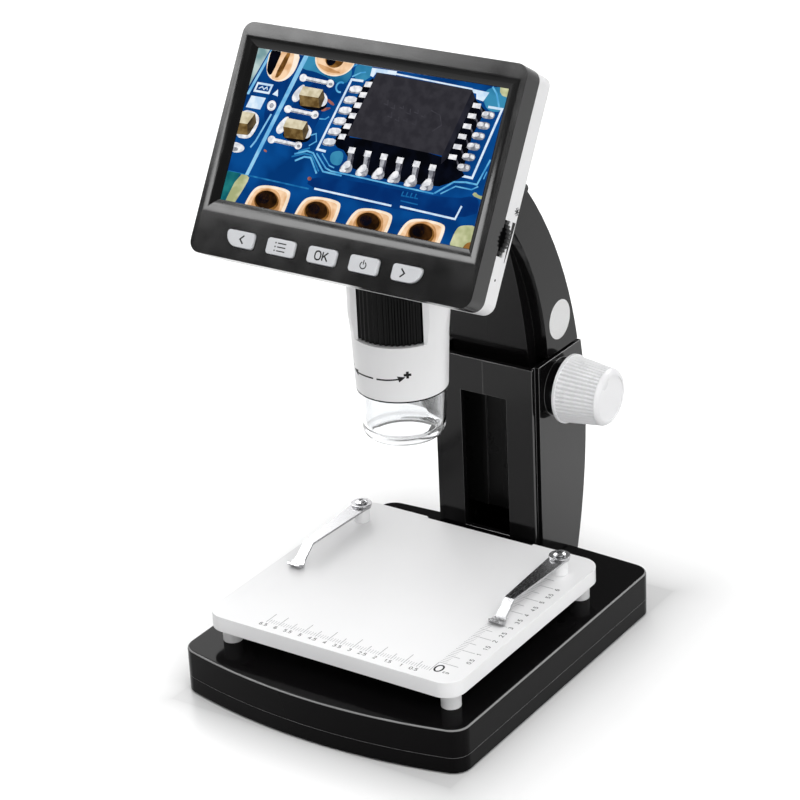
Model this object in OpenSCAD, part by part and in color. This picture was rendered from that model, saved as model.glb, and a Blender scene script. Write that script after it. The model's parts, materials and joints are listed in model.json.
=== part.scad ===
// Table-top digital microscope with a tilted display, a geared focusing arm
// and a specimen stage on a weighted base.
// Millimetres, +Z up, X to the right of the user, -Y towards the user.
// The origin is on the table, under the middle of the overall outline.

/* [Base] */
// Width of the base
base_w = 112; // [108:1:116]
// Base in front of the stage plate
front_margin = 13; // [12:0.2:15]
// Height of the base above the table
base_h = 16.5; // [16:0.5:18]
// Height of the bottom pan, up to the parting line
pan_h = 6.2; // [5.6:0.2:7]
// Bulge of the front edge
front_bulge = 7.6; // [5:0.2:9]
// Wall of the moulded covers
wall = 2.2; // [1.8:0.1:2.4]

/* [Stage] */
// Width of the stage plate
stage_w = 100; // [94:1:104]
// Depth of the stage plate
stage_d = 96; // [90:1:97]
// Thickness of the stage plate
stage_t = 5.6; // [4.5:0.1:6.5]
// Clear height between the base and the stage plate
stage_gap = 6.5; // [5:0.5:8]
// Radius of the stage legs
leg_r = 3.4; // [2.8:0.1:4]
// Height of the posts that carry the spring clips
post_h = 5.6; // [4.8:0.1:6.4]

/* [Column and arm] */
// Width of the column across its side faces
column_w = 42; // [42:0.5:44]
// Height of the column rim above the table
column_h = 92.5; // [92:0.5:95]
// Width of the window in the front of the column
window_w = 18.5; // [14:0.5:20]
// Width of the arm across its flanks
arm_w = 40.6; // [39:0.2:40.8]
// Width of the flat front panel of the arm
panel_w = 30.6; // [29:0.2:31]
// Height of the knob axle above the table
axle_z = 80.5; // [79:0.5:81]

/* [Focusing knob] */
// Radius of the knob over its ribs
knob_r = 12.3; // [10.5:0.1:13]
// Length of the knob
knob_l = 17; // [14:0.5:17.5]
// Number of ribs on the knob
knob_ribs = 46; // [36:1:52]

/* [Barrel] */
// Radius of the barrel at its upper part
barrel_r = 16.9; // [16.6:0.1:17.2]
// Radius of the barrel at its lower rim
barrel_foot_r = 15.4; // [15.2:0.1:15.9]
// Radius of the lower end of the clear cap
cap_r = 13.8; // [13:0.1:14.2]
// Radius of the ribbed focusing ring
ring_r = 15.1; // [14.6:0.1:15.2]
// Number of ribs on the focusing ring
ring_ribs = 48; // [36:1:56]

/* [Display] */
// Frame beside the visible screen
side_frame = 6.2; // [5.8:0.1:7.4]
// Tilt of the screen from the vertical
tilt = 30.4; // [29:0.2:32]
// Visible width of the screen
screen_w = 94.6; // [92:0.2:95]
// Visible height of the screen
screen_h = 50.4; // [48:0.2:51]
// Length of a push-button
button_l = 10.6; // [9.5:0.1:11.5]
// Width of a push-button
button_w = 5.3; // [4.6:0.1:5.6]

/* [Hidden] */
$fn = 48;

// ---- fits ----
slide_gap = 0.3;      // between sliding and neighbouring pieces
run_gap = 0.05;       // radial clearance of running fits
part_gap = 0.1;       // parting lines and pieces laid against each other
eps = 0.01;

// ---- layout along Y ----
column_d = 34.6;                  // front face to the back of the column
stage_clear = 4.8;                // between the stage plate and the column
column_over = 13.2;               // how far the column stands out behind the base
base_d = front_margin + stage_d + stage_clear + column_d;
front_y = -base_d / 2;
back_y = base_d / 2;
column_y = back_y - column_d;     // front face of the column
stage_back = column_y - stage_clear;
stage_front = stage_back - stage_d;
base_back = back_y - column_over;
back_bulge = 2.2;
base_corner = 6.5;

// ---- base ----
foot_h = 0.9;
pan_z = 0.6;
floor_t = 2.2;
cover_z = pan_h + part_gap;
top_t = 2.4;
edge_r = 0.9;                     // rounding round the top
slot_half = column_w / 2 + 0.4;    // the column stands in a slot at the rear
half_w = base_w / 2;
boss_x = half_w - 12;
boss_out_r = 3.6;
boss_xy = [for (y = [front_y + 13, base_back - 7], s = [-1, 1]) [s * boss_x, y]];
base_seat = 1.9;                  // seats of the screw heads above the table
column_seat = 1.6;
foot_r = 5.9;
foot_x = half_w - 11;
foot_screw_x = column_w / 2 - 10; // screws that hold the column from below
foot_screw_y = column_y + 17.5;
foot_y = [front_y + 26, base_back - 20];

// Point of an arc
function arc(c, r, a0, a1, n) = [for (i = [0:n]) let (a = a0 + (a1 - a0) * i / n) c + r * [cos(a), sin(a)]];
// Bow-fronted outline with rounded corners, counter-clockwise, moved inwards by i
function bow(h, yf, sf, yb, sb, rc, i) =
    let (rf = (h * h + sf * sf) / (2 * sf), cf = yf + rf,
         fy = cf - sqrt(pow(rf - rc, 2) - pow(h - rc, 2)), af = atan2(fy - cf, h - rc),
         rb = (h * h + sb * sb) / (2 * sb), cb = yb - rb,
         by = cb + sqrt(pow(rb - rc, 2) - pow(h - rc, 2)), ab = atan2(by - cb, h - rc))
    concat(arc([0, cf], rf - i, -180 - af, af, 20), arc([h - rc, fy], rc - i, af, 0, 8),
           arc([h - rc, by], rc - i, 0, ab, 8), arc([0, cb], rb - i, ab, 180 - ab, 14),
           arc([rc - h, by], rc - i, 180 - ab, 180, 8), arc([rc - h, fy], rc - i, 180, 180 - af, 8));
// Rectangle with rounded corners
function round_rect(x0, x1, y0, y1, r, n = 6) =
    concat(arc([x1 - r, y0 + r], r, -90, 0, n), arc([x1 - r, y1 - r], r, 0, 90, n),
           arc([x0 + r, y1 - r], r, 90, 180, n), arc([x0 + r, y0 + r], r, 180, 270, n));

module base_outline(inset, height, z) translate([0, 0, z]) linear_extrude(height)
    polygon(bow(half_w, front_y, front_bulge, base_back, back_bulge, base_corner, inset));

module column_slot(z0, z1, grow = 0)
    translate([-slot_half - grow, column_y - 0.4 - grow, z0]) cube([2 * (slot_half + grow), 2 * column_d, z1 - z0]);

module base_cover() color("#101012") difference() {
    union() {
        difference() {
            union() {
                base_outline(0, base_h - edge_r - cover_z, cover_z);
                hull() for (a = [0:22.5:90])
                    base_outline(edge_r * (1 - cos(a)), eps, base_h - edge_r * (1 - sin(a)) - eps);
            }
            difference() {
                base_outline(wall, base_h - top_t - cover_z + eps, cover_z - eps);
                column_slot(cover_z - 1, base_h, wall);
            }
        }
        for (p = boss_xy) translate([p[0], p[1], cover_z]) cylinder(r = boss_out_r, h = base_h - top_t - cover_z + eps);
    }
    column_slot(cover_z - 1, base_h + 1);
    for (p = boss_xy) translate([p[0], p[1], cover_z - 1]) cylinder(r = 1.25, h = 8);
    for (s = [-1, 1], y = leg_y) translate([s * leg_x, y, base_h - 5]) cylinder(r = 1.35, h = 8);
}

// The bottom pan carries a tongue at the rear on which the column stands
module base_pan() color("#141416") difference() {
    union() {
        difference() {
            base_outline(0, pan_h - pan_z, pan_z);
            difference() {
                base_outline(wall, pan_h, pan_z + floor_t);
                column_slot(0, 20, wall);
            }
            column_slot(pan_z + floor_t, pan_h + 1);
        }
        translate([-column_w / 2 + 1, column_y, pan_z]) cube([column_w - 2, 23.5, floor_t]);
        for (p = boss_xy) translate([p[0], p[1], pan_z]) cylinder(r = boss_out_r, h = cover_z - pan_z - part_gap);
    }
    for (p = boss_xy) {
        translate([p[0], p[1], 0]) cylinder(r = 1.35, h = pan_h + 1);
        translate([p[0], p[1], -1]) cylinder(r = 2.7, h = 1 + base_seat);
    }
    for (s = [-1, 1]) translate([s * foot_screw_x, foot_screw_y, -1]) {
        cylinder(r = 1.55, h = 9);
        cylinder(r = 3.2, h = 1 + column_seat);
    }
    for (s = [-1, 1], y = foot_y) translate([s * foot_x, y, -1]) cylinder(r = foot_r + part_gap, h = 1 + foot_h);
}

ballast_x = half_w - 22;
ballast_t = 5;
module ballast_plate() color("#8a8d90") translate([0, 0, pan_z + floor_t])
    linear_extrude(ballast_t) polygon(round_rect(-ballast_x, ballast_x, front_y + 22, column_y - 19.8, 5));

module base_feet() color("#202020") for (s = [-1, 1], y = foot_y)
    translate([s * foot_x, y, 0]) cylinder(r = foot_r, h = foot_h);

// Screw pointing up, with its head seated at height z
module screw_up(x, y, z, head_r, head_h, shank_r, shank_l) translate([x, y, z]) {
    translate([0, 0, -head_h]) difference() {
        cylinder(r = head_r, h = head_h);
        for (a = [0, 90]) rotate(a) translate([-0.35, -head_r * 0.62, -eps]) cube([0.7, head_r * 1.24, head_h * 0.55]);
    }
    translate([0, 0, -eps]) cylinder(r = shank_r, h = shank_l + eps);
}
module base_screws() color("#9a9c9e") for (p = boss_xy) screw_up(p[0], p[1], base_seat, 2.5, 0.9, 1.2, 9);

// ---- stage ----
stage_z = base_h + stage_gap;
stage_top = stage_z + stage_t;
leg_x = stage_w / 2 - 6;
leg_y = [stage_front + 7.4, stage_back - 6];
clip_x = stage_w / 2 - 9;
clip_y = stage_back - 14;
notch_half = column_w / 2 + 1;
blade_t = 0.7;
blade_half = [3.3, 1.8, 2.7];     // half-widths at the screw, at the bend and at the toe
blade_l = 0.3385 * stage_d;       // screw to the bend of the blade
blade_z = stage_top + post_h;

module stage_plate() color("#f2f2f2") difference() {
    union() {
        translate([0, 0, stage_z]) linear_extrude(stage_t) difference() {
            polygon(round_rect(-stage_w / 2, stage_w / 2, stage_front, stage_back, 7, 8));
            // shallow notch that clears the column
            translate([-notch_half, stage_back - 1.1]) square([2 * notch_half, 5]);
        }
        for (s = [-1, 1], y = leg_y) translate([s * leg_x, y, base_h]) cylinder(r = leg_r, h = stage_gap + eps);
    }
    // hollow underside, left solid round the legs and the clip posts
    translate([0, 0, stage_z - eps]) linear_extrude(stage_t - 2.4) difference() {
        polygon(round_rect(3 - stage_w / 2, stage_w / 2 - 3, stage_front + 3, stage_back - 4, 5));
        for (s = [-1, 1], y = leg_y) translate([s * leg_x, y]) circle(r = leg_r + 3.5);
        for (s = [-1, 1]) translate([s * clip_x, clip_y]) circle(r = 4.8);
    }
    for (s = [-1, 1]) translate([s * clip_x, clip_y, stage_z - 1]) cylinder(r = 1.5, h = stage_t + 2);
    for (s = [-1, 1], y = leg_y) translate([s * leg_x, y, base_h - 1]) cylinder(r = 1.2, h = 9);
}
module stage_screws() color("#9a9c9e") for (s = [-1, 1], y = leg_y)
    screw_up(s * leg_x, y, base_h - top_t, 2.5, 1.3, 1.2, 9);

// Hollow post under each clip
module clip_posts() color("#ededed") for (s = [-1, 1]) translate([s * clip_x, clip_y, stage_top]) difference() {
    cylinder(r = 2.8, h = post_h - part_gap / 2);
    translate([0, 0, -1]) cylinder(r = 1.5, h = post_h + 2);
}

// Pan-head screws through washer, blade and post
module clip_screws() color("#d0d2d4") for (s = [-1, 1]) translate([s * clip_x, clip_y, 0]) {
    translate([0, 0, stage_z]) cylinder(r = 1.5, h = stage_t + post_h + blade_t + 1.1);
    translate([0, 0, blade_z + blade_t + 0.9 + part_gap]) difference() {
        union() {
            cylinder(r = 2.2, h = 0.5);
            translate([0, 0, 0.5 - eps]) cylinder(r1 = 2.2, r2 = 1.4, h = 0.5);
        }
        for (a = [0, 90]) rotate(a) translate([-0.28, -1.1, 0.5]) cube([0.56, 2.2, 1.5]);
    }
}

module clip_washer(s) color("#c4c6c8") translate([s * clip_x, clip_y, blade_z + blade_t]) difference() {
    cylinder(r = 3.7, h = 0.9);
    translate([0, 0, -1]) cylinder(r = 1.5 + run_gap, h = 3);
}
module clip_washer_left() clip_washer(-1);
module clip_washer_right() clip_washer(1);

// Spring blade: level, then bent down to the plate with a turned-up toe
blade_bend = clip_y - blade_l;
module clip_blade(s) color("#b9bcbf") translate([s * clip_x, 0, 0]) difference() {
    union() {
        translate([0, clip_y, blade_z]) cylinder(r = 3.5, h = blade_t);
        translate([0, 0, blade_z]) linear_extrude(blade_t) polygon([[blade_half[0], clip_y], [-blade_half[0], clip_y],
            [-blade_half[1], blade_bend], [blade_half[1], blade_bend]]);
        // sloping toe: plan view crossed with side view
        intersection() {
            translate([0, 0, stage_top]) linear_extrude(2 * post_h) polygon([for (s = [1, -1], k = s > 0 ? [0:4] : [4:-1:0])
                let (q = [[blade_half[1], -0.5], [blade_half[1], 5.4], [blade_half[2], 7.4], [blade_half[2], 9.4], [blade_half[1], 11]][k])
                [s * q[0], blade_bend - q[1]]]);
            side_view(-blade_half[0], blade_half[0]) polygon([
                [blade_bend + eps, blade_z], [blade_bend + eps, blade_z + blade_t],
                [blade_bend - 0.4, blade_z + blade_t], [blade_bend - 6.4, stage_top + 1.1 + blade_t],
                [blade_bend - 7.6, stage_top + 0.7 + blade_t], [blade_bend - 9, stage_top + 1.3 + blade_t],
                [blade_bend - 9.6, stage_top + 2.4], [blade_bend - 10.3, stage_top + 2.1],
                [blade_bend - 9.4, stage_top + 0.9], [blade_bend - 7.8, stage_top + 0.35],
                [blade_bend - 6.2, stage_top + 0.7]]);
        }
    }
    translate([0, clip_y, blade_z - 1]) cylinder(r = 1.5 + run_gap, h = 4);
}
module clip_blade_left() clip_blade(-1);
module clip_blade_right() clip_blade(1);

// ---- column: left and right mouldings that meet on X = 0 ----
column_z = pan_z + floor_t;
seam = 0.02;                      // half of the parting gap between two halves
half_c = column_w / 2;
face_half = half_c - 1;           // the front face is narrower than the sides
tangent_z = 64;
upper_r = 149.2;
lower_r = 190;
window_z = [26.5, 79.5];
axle_y = column_y + 16.7;
rail_in = half_c - wall - 2.9;    // inner faces of the guide rails
axle_r = 2;
bushing_r = 4;
boss_r = 10.4;
boss_t = 3.4;

// back edge of the column at height z, moved inwards by i
function column_back(z, i) = let (r = z > tangent_z ? upper_r : lower_r)
    back_y - r + sqrt(pow(r - i, 2) - pow(z - tangent_z, 2));
function column_side(i, z0, z1, y0, n = 16) =
    concat([[y0, z1], [y0, z0]], [for (k = [0:n]) let (z = z0 + (z1 - z0) * k / n) [column_back(z, i), z]]);
// Side view (Y, Z) extruded along X
module side_view(x0, x1) translate([x0, 0, 0]) rotate([90, 0, 90]) linear_extrude(x1 - x0) children();
module cyl_x(x0, x1, y, z, r) translate([x0, y, z]) rotate([0, 90, 0]) cylinder(r = r, h = x1 - x0);
column_screw_yz = [[column_y + 24.4, 17], [column_y + 26.4, 56]];

module column_half() difference() {
    union() {
        difference() {
            side_view(seam, half_c) polygon(column_side(0, column_z, column_h, column_y));
            side_view(-1, half_c - wall) polygon(column_side(wall, column_z + 2.6, column_h + 2, column_y + wall));
        }
        // guide rails for the slide plate
        for (y = [plate_y - slide_gap - 1.8, plate_y + plate_t + slide_gap])
            translate([rail_in, y, column_z + 2]) cube([half_c - wall - rail_in + eps, 1.8, column_h - 2.5 - column_z - 2]);
        for (p = column_screw_yz) cyl_x(seam, half_c - wall + eps, p[0], p[1], 3.3);
        translate([foot_screw_x, foot_screw_y, column_z + 1]) cylinder(r = boss_out_r, h = 8);
        // round boss that carries the axle
        cyl_x(half_c - eps, half_c + boss_t, axle_y, axle_z, boss_r);
    }
    // window in the front face
    translate([-1, column_y - 1, window_z[0]]) cube([window_w / 2 + 1, wall + 2, window_z[1] - window_z[0]]);
    // groove between the front face and the side
    translate([face_half, column_y - 1, 0]) cube([5, 4.2, 200]);
    translate([face_half - 0.7, column_y + 1.1, 0]) cube([5, 2.1, 200]);
    cyl_x(half_c - 5, half_c + 5, axle_y, axle_z, bushing_r);
    translate([foot_screw_x, foot_screw_y, 0]) cylinder(r = 1.3, h = 11);
}
module column_right() color("#121214") difference() {
    column_half();
    for (p = column_screw_yz) cyl_x(-1, 12, p[0], p[1], 1.25);
}
module column_left() color("#121214") difference() {
    mirror([1, 0, 0]) column_half();
    for (p = column_screw_yz) {
        cyl_x(-half_c - 1, 1, p[0], p[1], 1.35);
        cyl_x(-half_c - 1, -half_c + 5, p[0], p[1], 2.7);
    }
}
// Screw along +X with its head seated at x
module screw_x(x, y, z, x_end) {
    difference() {
        cyl_x(x - 1.6, x, y, z, 2.5);
        for (a = [0, 90]) translate([x - 1.6 - eps, y, z]) rotate([a, 0, 0]) translate([0, -1.5, -0.35]) cube([0.8, 3, 0.7]);
    }
    cyl_x(x - eps, x_end, y, z, 1.2);
}
module column_screws() color("#9a9c9e") for (p = column_screw_yz) screw_x(5 - half_c, p[0], p[1], 10.5);
module column_foot_screws() color("#9a9c9e") for (s = [-1, 1])
    screw_up(s * foot_screw_x, foot_screw_y, column_seat, 2.9, 0.7, 1.25, 9);

// Bushing in each side of the column
module axle_bushing() color("#c8c9c4") difference() {
    cyl_x(half_c - wall, half_c + boss_t, axle_y, axle_z, bushing_r);
    cyl_x(0, 60, axle_y, axle_z, axle_r + run_gap);
}
module axle_bushing_left() mirror([1, 0, 0]) axle_bushing();
module axle_bushing_right() axle_bushing();

// ---- knobs, axle and pinion ----
knob_x = half_c + boss_t + 0.6;
teeth = 10;
pitch_r = 5;

module axle() color("#b9bcbf") cyl_x(-knob_x - knob_l + 3, knob_x + knob_l - 3, axle_y, axle_z, axle_r);

knob_rim = 0.9;                   // smooth rim at the back
knob_end = 1.8;                   // smooth rounded end
knob_taper = 0.125;               // the ribs taper towards the end
knob_front = knob_r - 0.15 - knob_taper * (knob_l - knob_end);
knob_round = [0, 0.25, 0.8, 1.8];

// Ribbed outline
function ribbed(r, depth, n) = [for (i = [0:4 * n - 1]) let (a = 90 * i / n, q = (i % 4 < 2) ? r : r - depth) q * [cos(a), sin(a)]];
module knob_body() difference() {
    union() {
        cylinder(r = knob_r, h = knob_rim, $fn = 72);
        linear_extrude(knob_l - knob_end, scale = 1 - knob_taper * (knob_l - knob_end) / knob_r) polygon(ribbed(knob_r - 0.3, 0.55, knob_ribs));
        // rounded end
        for (k = [1:3]) translate([0, 0, knob_l - knob_end * (4 - k) / 3 - (k == 1 ? eps : 0)])
            cylinder(r1 = knob_front - knob_round[k - 1], r2 = knob_front - knob_round[k], h = knob_end / 3 + (k == 1 ? eps : 0), $fn = 72);
    }
    translate([0, 0, knob_l - 0.35]) cylinder(r = knob_front - 2.4, h = 2, $fn = 64);
    translate([0, 0, -1]) cylinder(r = axle_r, h = knob_l - 2);
    // hollow back round the hub
    translate([0, 0, -eps]) difference() {
        cylinder(r = knob_front - 1.6, h = knob_l - 6, $fn = 64);
        translate([0, 0, -1]) cylinder(r = 5, h = knob_l);
    }
}
module knob_right() color("#f4f4f4") translate([knob_x, axle_y, axle_z]) rotate([0, 90, 0]) knob_body();
module knob_left() color("#f4f4f4") translate([-knob_x, axle_y, axle_z]) rotate([0, -90, 0]) knob_body();

// Pinion tooth outline: narrow at the tip, wide at the root
function pinion_points(n) = [for (i = [0:n - 1], k = [[3.75, -14.5], [3.75, -11.5], [5, -8.1], [5.85, -3.2], [5.85, 3.2], [5, 8.1], [3.75, 11.5], [3.75, 14.5]])
    let (a = 360 * i / n + k[1]) k[0] * [cos(a), sin(a)]];
module pinion() color("#c9b267") translate([-3.5, axle_y, axle_z]) rotate([0, 90, 0]) difference() {
    linear_extrude(7) polygon(pinion_points(teeth));
    translate([0, 0, -1]) cylinder(r = axle_r, h = 9);
}

// ---- arm and slide ----
plate_y = column_y + 8.7;
plate_t = 3.4;
arm_bottom = column_h + 0.8;
block_bottom = axle_z + 8;
arm_inset = 0.9;
rack_line = axle_y - pitch_r;

// The arm is a crescent between two arcs, with a narrower flat panel in front
flank_r = upper_r - 48.2;
flank_centre = [back_y - upper_r + 24.5, tangent_z + 22.6];
panel_r = upper_r + 56.8;
panel_centre = [back_y - upper_r - 84, tangent_z + 4];
reach = 2 * arm_w;                // half-size of the blocks that cut the arm
function arm_back(z, i) = back_y - upper_r + sqrt(pow(upper_r - arm_inset - i, 2) - pow(z - tangent_z, 2));
function flank_front(z, i) = flank_centre[0] + sqrt(max(0, pow(flank_r + i, 2) - pow(z - flank_centre[1], 2)));
function panel_front(z, i) = panel_centre[0] + sqrt(pow(panel_r + i, 2) - pow(z - panel_centre[1], 2));
function heights(z0, z1, n) = [for (k = [0:n]) z0 + (z1 - z0) * k / n];
arm_screw_yz = [for (z = [116, 150]) [(arm_back(z, wall) + flank_front(z, wall)) / 2, z]];
slide_screw_z = 102;
slide_screw_x = 8;

module panel_outline(i, z0, z1) polygon(concat(
    [for (z = heights(z1, z0, 12)) [panel_front(z, i), z]], [[back_y - 14, z0], [back_y - 14, arm_bottom + 4], [back_y - 39, z1]]));
module flank_outline(i, z0, z1) polygon(concat(
    [for (z = heights(z1, z0, 16)) [flank_front(z, i), z]], [for (z = heights(z0, z1, 16)) [arm_back(z, i), z]]));

module arm_half() difference() {
    union() {
        difference() {
            union() {
                side_view(seam, panel_w / 2) panel_outline(0, block_bottom, 156);
                side_view(seam, arm_w / 2) flank_outline(0, arm_bottom, arm_top);
            }
            side_view(-1, panel_w / 2 - wall) panel_outline(wall, block_bottom + 2, 150);
            side_view(-1, arm_w / 2 - wall) flank_outline(wall, arm_bottom + wall, arm_top + 1);
        }
        for (p = arm_screw_yz) cyl_x(seam, arm_w / 2 - wall + eps, p[0], p[1], 3.3);
        // boss for a screw of the slide plate
        translate([slide_screw_x, plate_y, slide_screw_z]) rotate([90, 0, 0]) cylinder(r = 3, h = 3.6);
    }
    // slot for the upper tab of the slide plate
    translate([-1, plate_y - eps, block_bottom - 1]) cube([14.2, plate_t + part_gap, 4]);
    translate([slide_screw_x, plate_y + 1, slide_screw_z]) rotate([90, 0, 0]) cylinder(r = 1.2, h = 4.2);
    // seat of the head bracket
    translate([-1, 0, bracket_z[0] - part_gap]) cube([bracket_w / 2 + 1 + part_gap, bracket_back + part_gap, bracket_z[1] - bracket_z[0] + 2 * part_gap]);
    // passage of the barrel, and the upper end laid against the display
    at_barrel(shoulder_z) cylinder(r = barrel_r + part_gap, h = barrel_top + part_gap - shoulder_z, $fn = 96);
    behind_display();
}
// Everything in front of the back of the display
module behind_display() on_display() translate([-reach, -reach, shell_n]) cube(2 * reach);

module arm_right() color("#121214") difference() {
    arm_half();
    for (p = arm_screw_yz) cyl_x(-1, 12, p[0], p[1], 1.25);
}
module arm_left() color("#121214") difference() {
    mirror([1, 0, 0]) arm_half();
    for (p = arm_screw_yz) {
        cyl_x(-half_c - 1, 1, p[0], p[1], 1.35);
        cyl_x(-half_c - 1, -arm_w / 2 + 5, p[0], p[1], 2.7);
    }
}
module arm_screws() color("#9a9c9e") for (p = arm_screw_yz) screw_x(5 - arm_w / 2, p[0], p[1], 10.5);

plate_low = 32;
module slide_plate() color("#1a1a1c") difference() {
    union() {
        translate([-half_c + wall + slide_gap, plate_y, plate_low]) cube([column_w - 2 * wall - 2 * slide_gap, plate_t, block_bottom - 0.3 - plate_low]);
        translate([-13, plate_y, block_bottom - 1]) cube([26, plate_t, slide_screw_z + 5 - block_bottom]);
        // ribs seen through the window
        for (x = [-5, 2.9]) translate([x - 0.9, plate_y - 0.6, plate_low]) cube([1.8, 1, block_bottom - 2 - plate_low]);
    }
    translate([-4.1, plate_y + 0.8, plate_low - 1]) cube([8.2, plate_t, block_bottom - plate_low]);
    for (s = [-1, 1]) translate([s * slide_screw_x, plate_y + plate_t + 1, slide_screw_z]) rotate([90, 0, 0]) cylinder(r = 1.35, h = plate_t + 2);
}
module slide_screws() color("#9a9c9e") for (s = [-1, 1]) translate([s * slide_screw_x, plate_y + plate_t, slide_screw_z]) rotate([90, 0, 0]) {
    translate([0, 0, -1.6]) cylinder(r = 2.5, h = 1.6);
    translate([0, 0, -eps]) cylinder(r = 1.15, h = 6.6);
}
// Rack bar let into the back of the slide plate
rack_low = plate_low + 2;
rack_high = block_bottom - 1.5;
tooth = 2 * PI * pitch_r / teeth;
// a tooth of the rack stands in the pinion's gap at the height of the axle
function rack_points() = concat([[plate_y + 0.9, rack_high], [plate_y + 0.9, rack_low], [rack_line - 1.35, rack_low]],
    [for (i = [ceil((rack_low + 1.2 - axle_z) / tooth):floor((rack_high - 1.2 - axle_z) / tooth)],
          k = [[-1.35, -1.17], [0.9, -0.35], [0.9, 0.35], [-1.35, 1.17]]) [rack_line + k[0], axle_z + i * tooth + k[1]]],
    [[rack_line - 1.35, rack_high]]);
module rack() color("#c8c9c4") side_view(-4, 4) polygon(rack_points());

// ---- head ----
bracket_z = [161, 174];            // heights of the cradle behind the barrel
head_reach = 50.563;              // back of the arm to the middle of the screen
lcd_y = arm_back(bracket_z[1], 0) - head_reach;
lcd_z = column_h + 99.2;
barrel_y = lcd_y + 16.8;
bezel_n = [-6.3, 1.8];
shell_n = -13.9;
head_w = screen_w + 2 * side_frame;
head_u = [-screen_h / 2 - 18.3, screen_h / 2 + 7.8];
half_h = head_w / 2;
arm_top = tangent_z + 0.905 * upper_r;
barrel_top = 183;
bracket_w = 24;
bracket_back = arm_back(bracket_z[1], wall) - 1.15;
// Display frame: x along the screen, y up the screen, z out of the screen
module on_display() translate([0, lcd_y, lcd_z]) rotate([90 - tilt, 0, 0]) children();

// Cradle between the arm and the barrel
module head_bracket() color("#161618") difference() {
    intersection() {
        translate([-bracket_w / 2, barrel_y, bracket_z[0]]) cube([bracket_w, bracket_back - barrel_y, bracket_z[1] - bracket_z[0]]);
        side_view(-20, 20) polygon(concat([[barrel_y, bracket_z[1]], [barrel_y, bracket_z[0]]],
            [for (z = heights(bracket_z[0], bracket_z[1], 6)) [min(arm_back(z, wall + part_gap), bracket_back), z]]));
    }
    translate([0, barrel_y, bracket_z[0] - 1]) cylinder(r = barrel_r + part_gap, h = bracket_z[1] - bracket_z[0] + 2, $fn = 96);
}

module head_plate(inset, n0, n1, r, off = 0) translate([0, 0, n0]) linear_extrude(n1 - n0)
    polygon(round_rect(inset - half_h, half_h - inset, head_u[0] + inset, head_u[1] - inset, r, 8));

button_u = head_u[0] + 6.9;
first_button = 19.3 - half_h;
last_button = half_h - 24.3;
button_x = [for (i = [0:4]) first_button + (last_button - first_button) * i / 4];
// Outline of key i grown by g; the outer two have a swept lower corner
function key_outline(i, g) =
    let (bx = button_l / 2, bw = button_w / 2, r = 1.1, big = 4.2, right = i == 4 ? big : r, left = i == 0 ? big : r)
    concat(arc([bx - right, right - bw], right + g, -90, 0, 6), arc([bx - r, bw - r], r + g, 0, 90, 4),
           arc([r - bx, bw - r], r + g, 90, 180, 4), arc([left - bx, left - bw], left + g, 180, 270, 6));
sw = screen_w / 2;
sh = screen_h / 2;
// Frame round the screen, rounded towards the opening: [width, height], at the top narrower
frame_slope = [[0.05, 0.2], [0.8, 0.75], [1.9, 1.2], [3.2, 1.56], [4.6, bezel_n[1] + eps]];
frame_top = 0.76;
screw_xu = [for (s = [-1, 1]) each [[s * (half_h - 6), head_u[0] + 5.5], [s * (half_h - 3.5), head_u[1] - 3.6]]];
shell_wall = 2.2;
shell_back = 1.9;                 // thickness of the shell's back
glass_t = 1;
glass_n = -1.1;
panel_t = 3.7;
panel_n = glass_n - panel_t;
board_t = 1.4;
board_n = panel_n - board_t;
post_x = [(button_x[0] + button_x[1]) / 2, (button_x[3] + button_x[4]) / 2];
switch_n = panel_n + 1;

module frame_level(p) translate([-sw - p[0], -sh - p[0], p[1]])
    cube([screen_w + 2 * p[0], screen_h + (1 + frame_top) * p[0], 0.01]);
module display_bezel() color("#17171a") on_display() difference() {
    union() {
        difference() {
            head_plate(0, bezel_n[0], bezel_n[1], 4);
            translate([0, 0, -0.1]) mirror([0, 0, 1]) linear_extrude(10)
                polygon(round_rect(shell_wall - 0.2 - half_h, half_h - shell_wall + 0.2, head_u[0] + shell_wall - 0.2, head_u[1] - shell_wall + 0.2, 2.5));
        }
        for (p = screw_xu) translate([p[0], p[1], bezel_n[0]]) cylinder(r = 2.4, h = -bezel_n[0]);
        for (x = post_x) translate([x, button_u, switch_n]) cylinder(r = 1.2, h = 4);
    }
    // screen opening with a sloping frame
    translate([-sw, -sh, -5]) cube([screen_w, screen_h, 10]);
    for (k = [1:4]) hull() {
        frame_level(frame_slope[k - 1]);
        frame_level(frame_slope[k]);
    }
    for (i = [0:4]) translate([button_x[i], button_u, -3]) linear_extrude(8) polygon(key_outline(i, 0.25));
    for (p = screw_xu) translate([p[0], p[1], bezel_n[0] - 1]) cylinder(r = 1.1, h = 6);
}
module display_glass() color("#202830", 0.6) on_display()
    translate([-sw - 0.9, -sh - 0.9, glass_n]) cube([screen_w + 1.8, screen_h + 1.8, glass_t]);
module lcd_panel() color("#1b4f8f") on_display()
    translate([-sw - 2.5, -sh - 4, panel_n]) cube([screen_w + 5, screen_h + 5.4, panel_t]);
module main_board() color("#1f6b3a") on_display() difference() {
    translate([0, 0, board_n]) linear_extrude(board_t) polygon(round_rect(1.3 - sw, sw - 1.3, -sh - 1.8, sh + 1.8, 2));
    translate([0, -14, board_n - 1]) cylinder(r = cable_r, h = board_t + 2);
}
module battery() color("#b9bcc0") on_display() translate([0, 0, shell_n + shell_back]) linear_extrude(4.4)
    polygon(round_rect(port_x + card_d + 3.2, half_h - 27.5, -6, sh - 1.2, 1.5));
module button_board() color("#1f6b3a") on_display() {
    translate([first_button - 7.8, button_u - 4.2, switch_n - 1.2]) cube([last_button - first_button + 14.6, 8.4, 1.2]);
    for (x = button_x) translate([x - 2, button_u - 2, switch_n - eps]) cube([4, 4, 1.85]);
}

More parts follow.
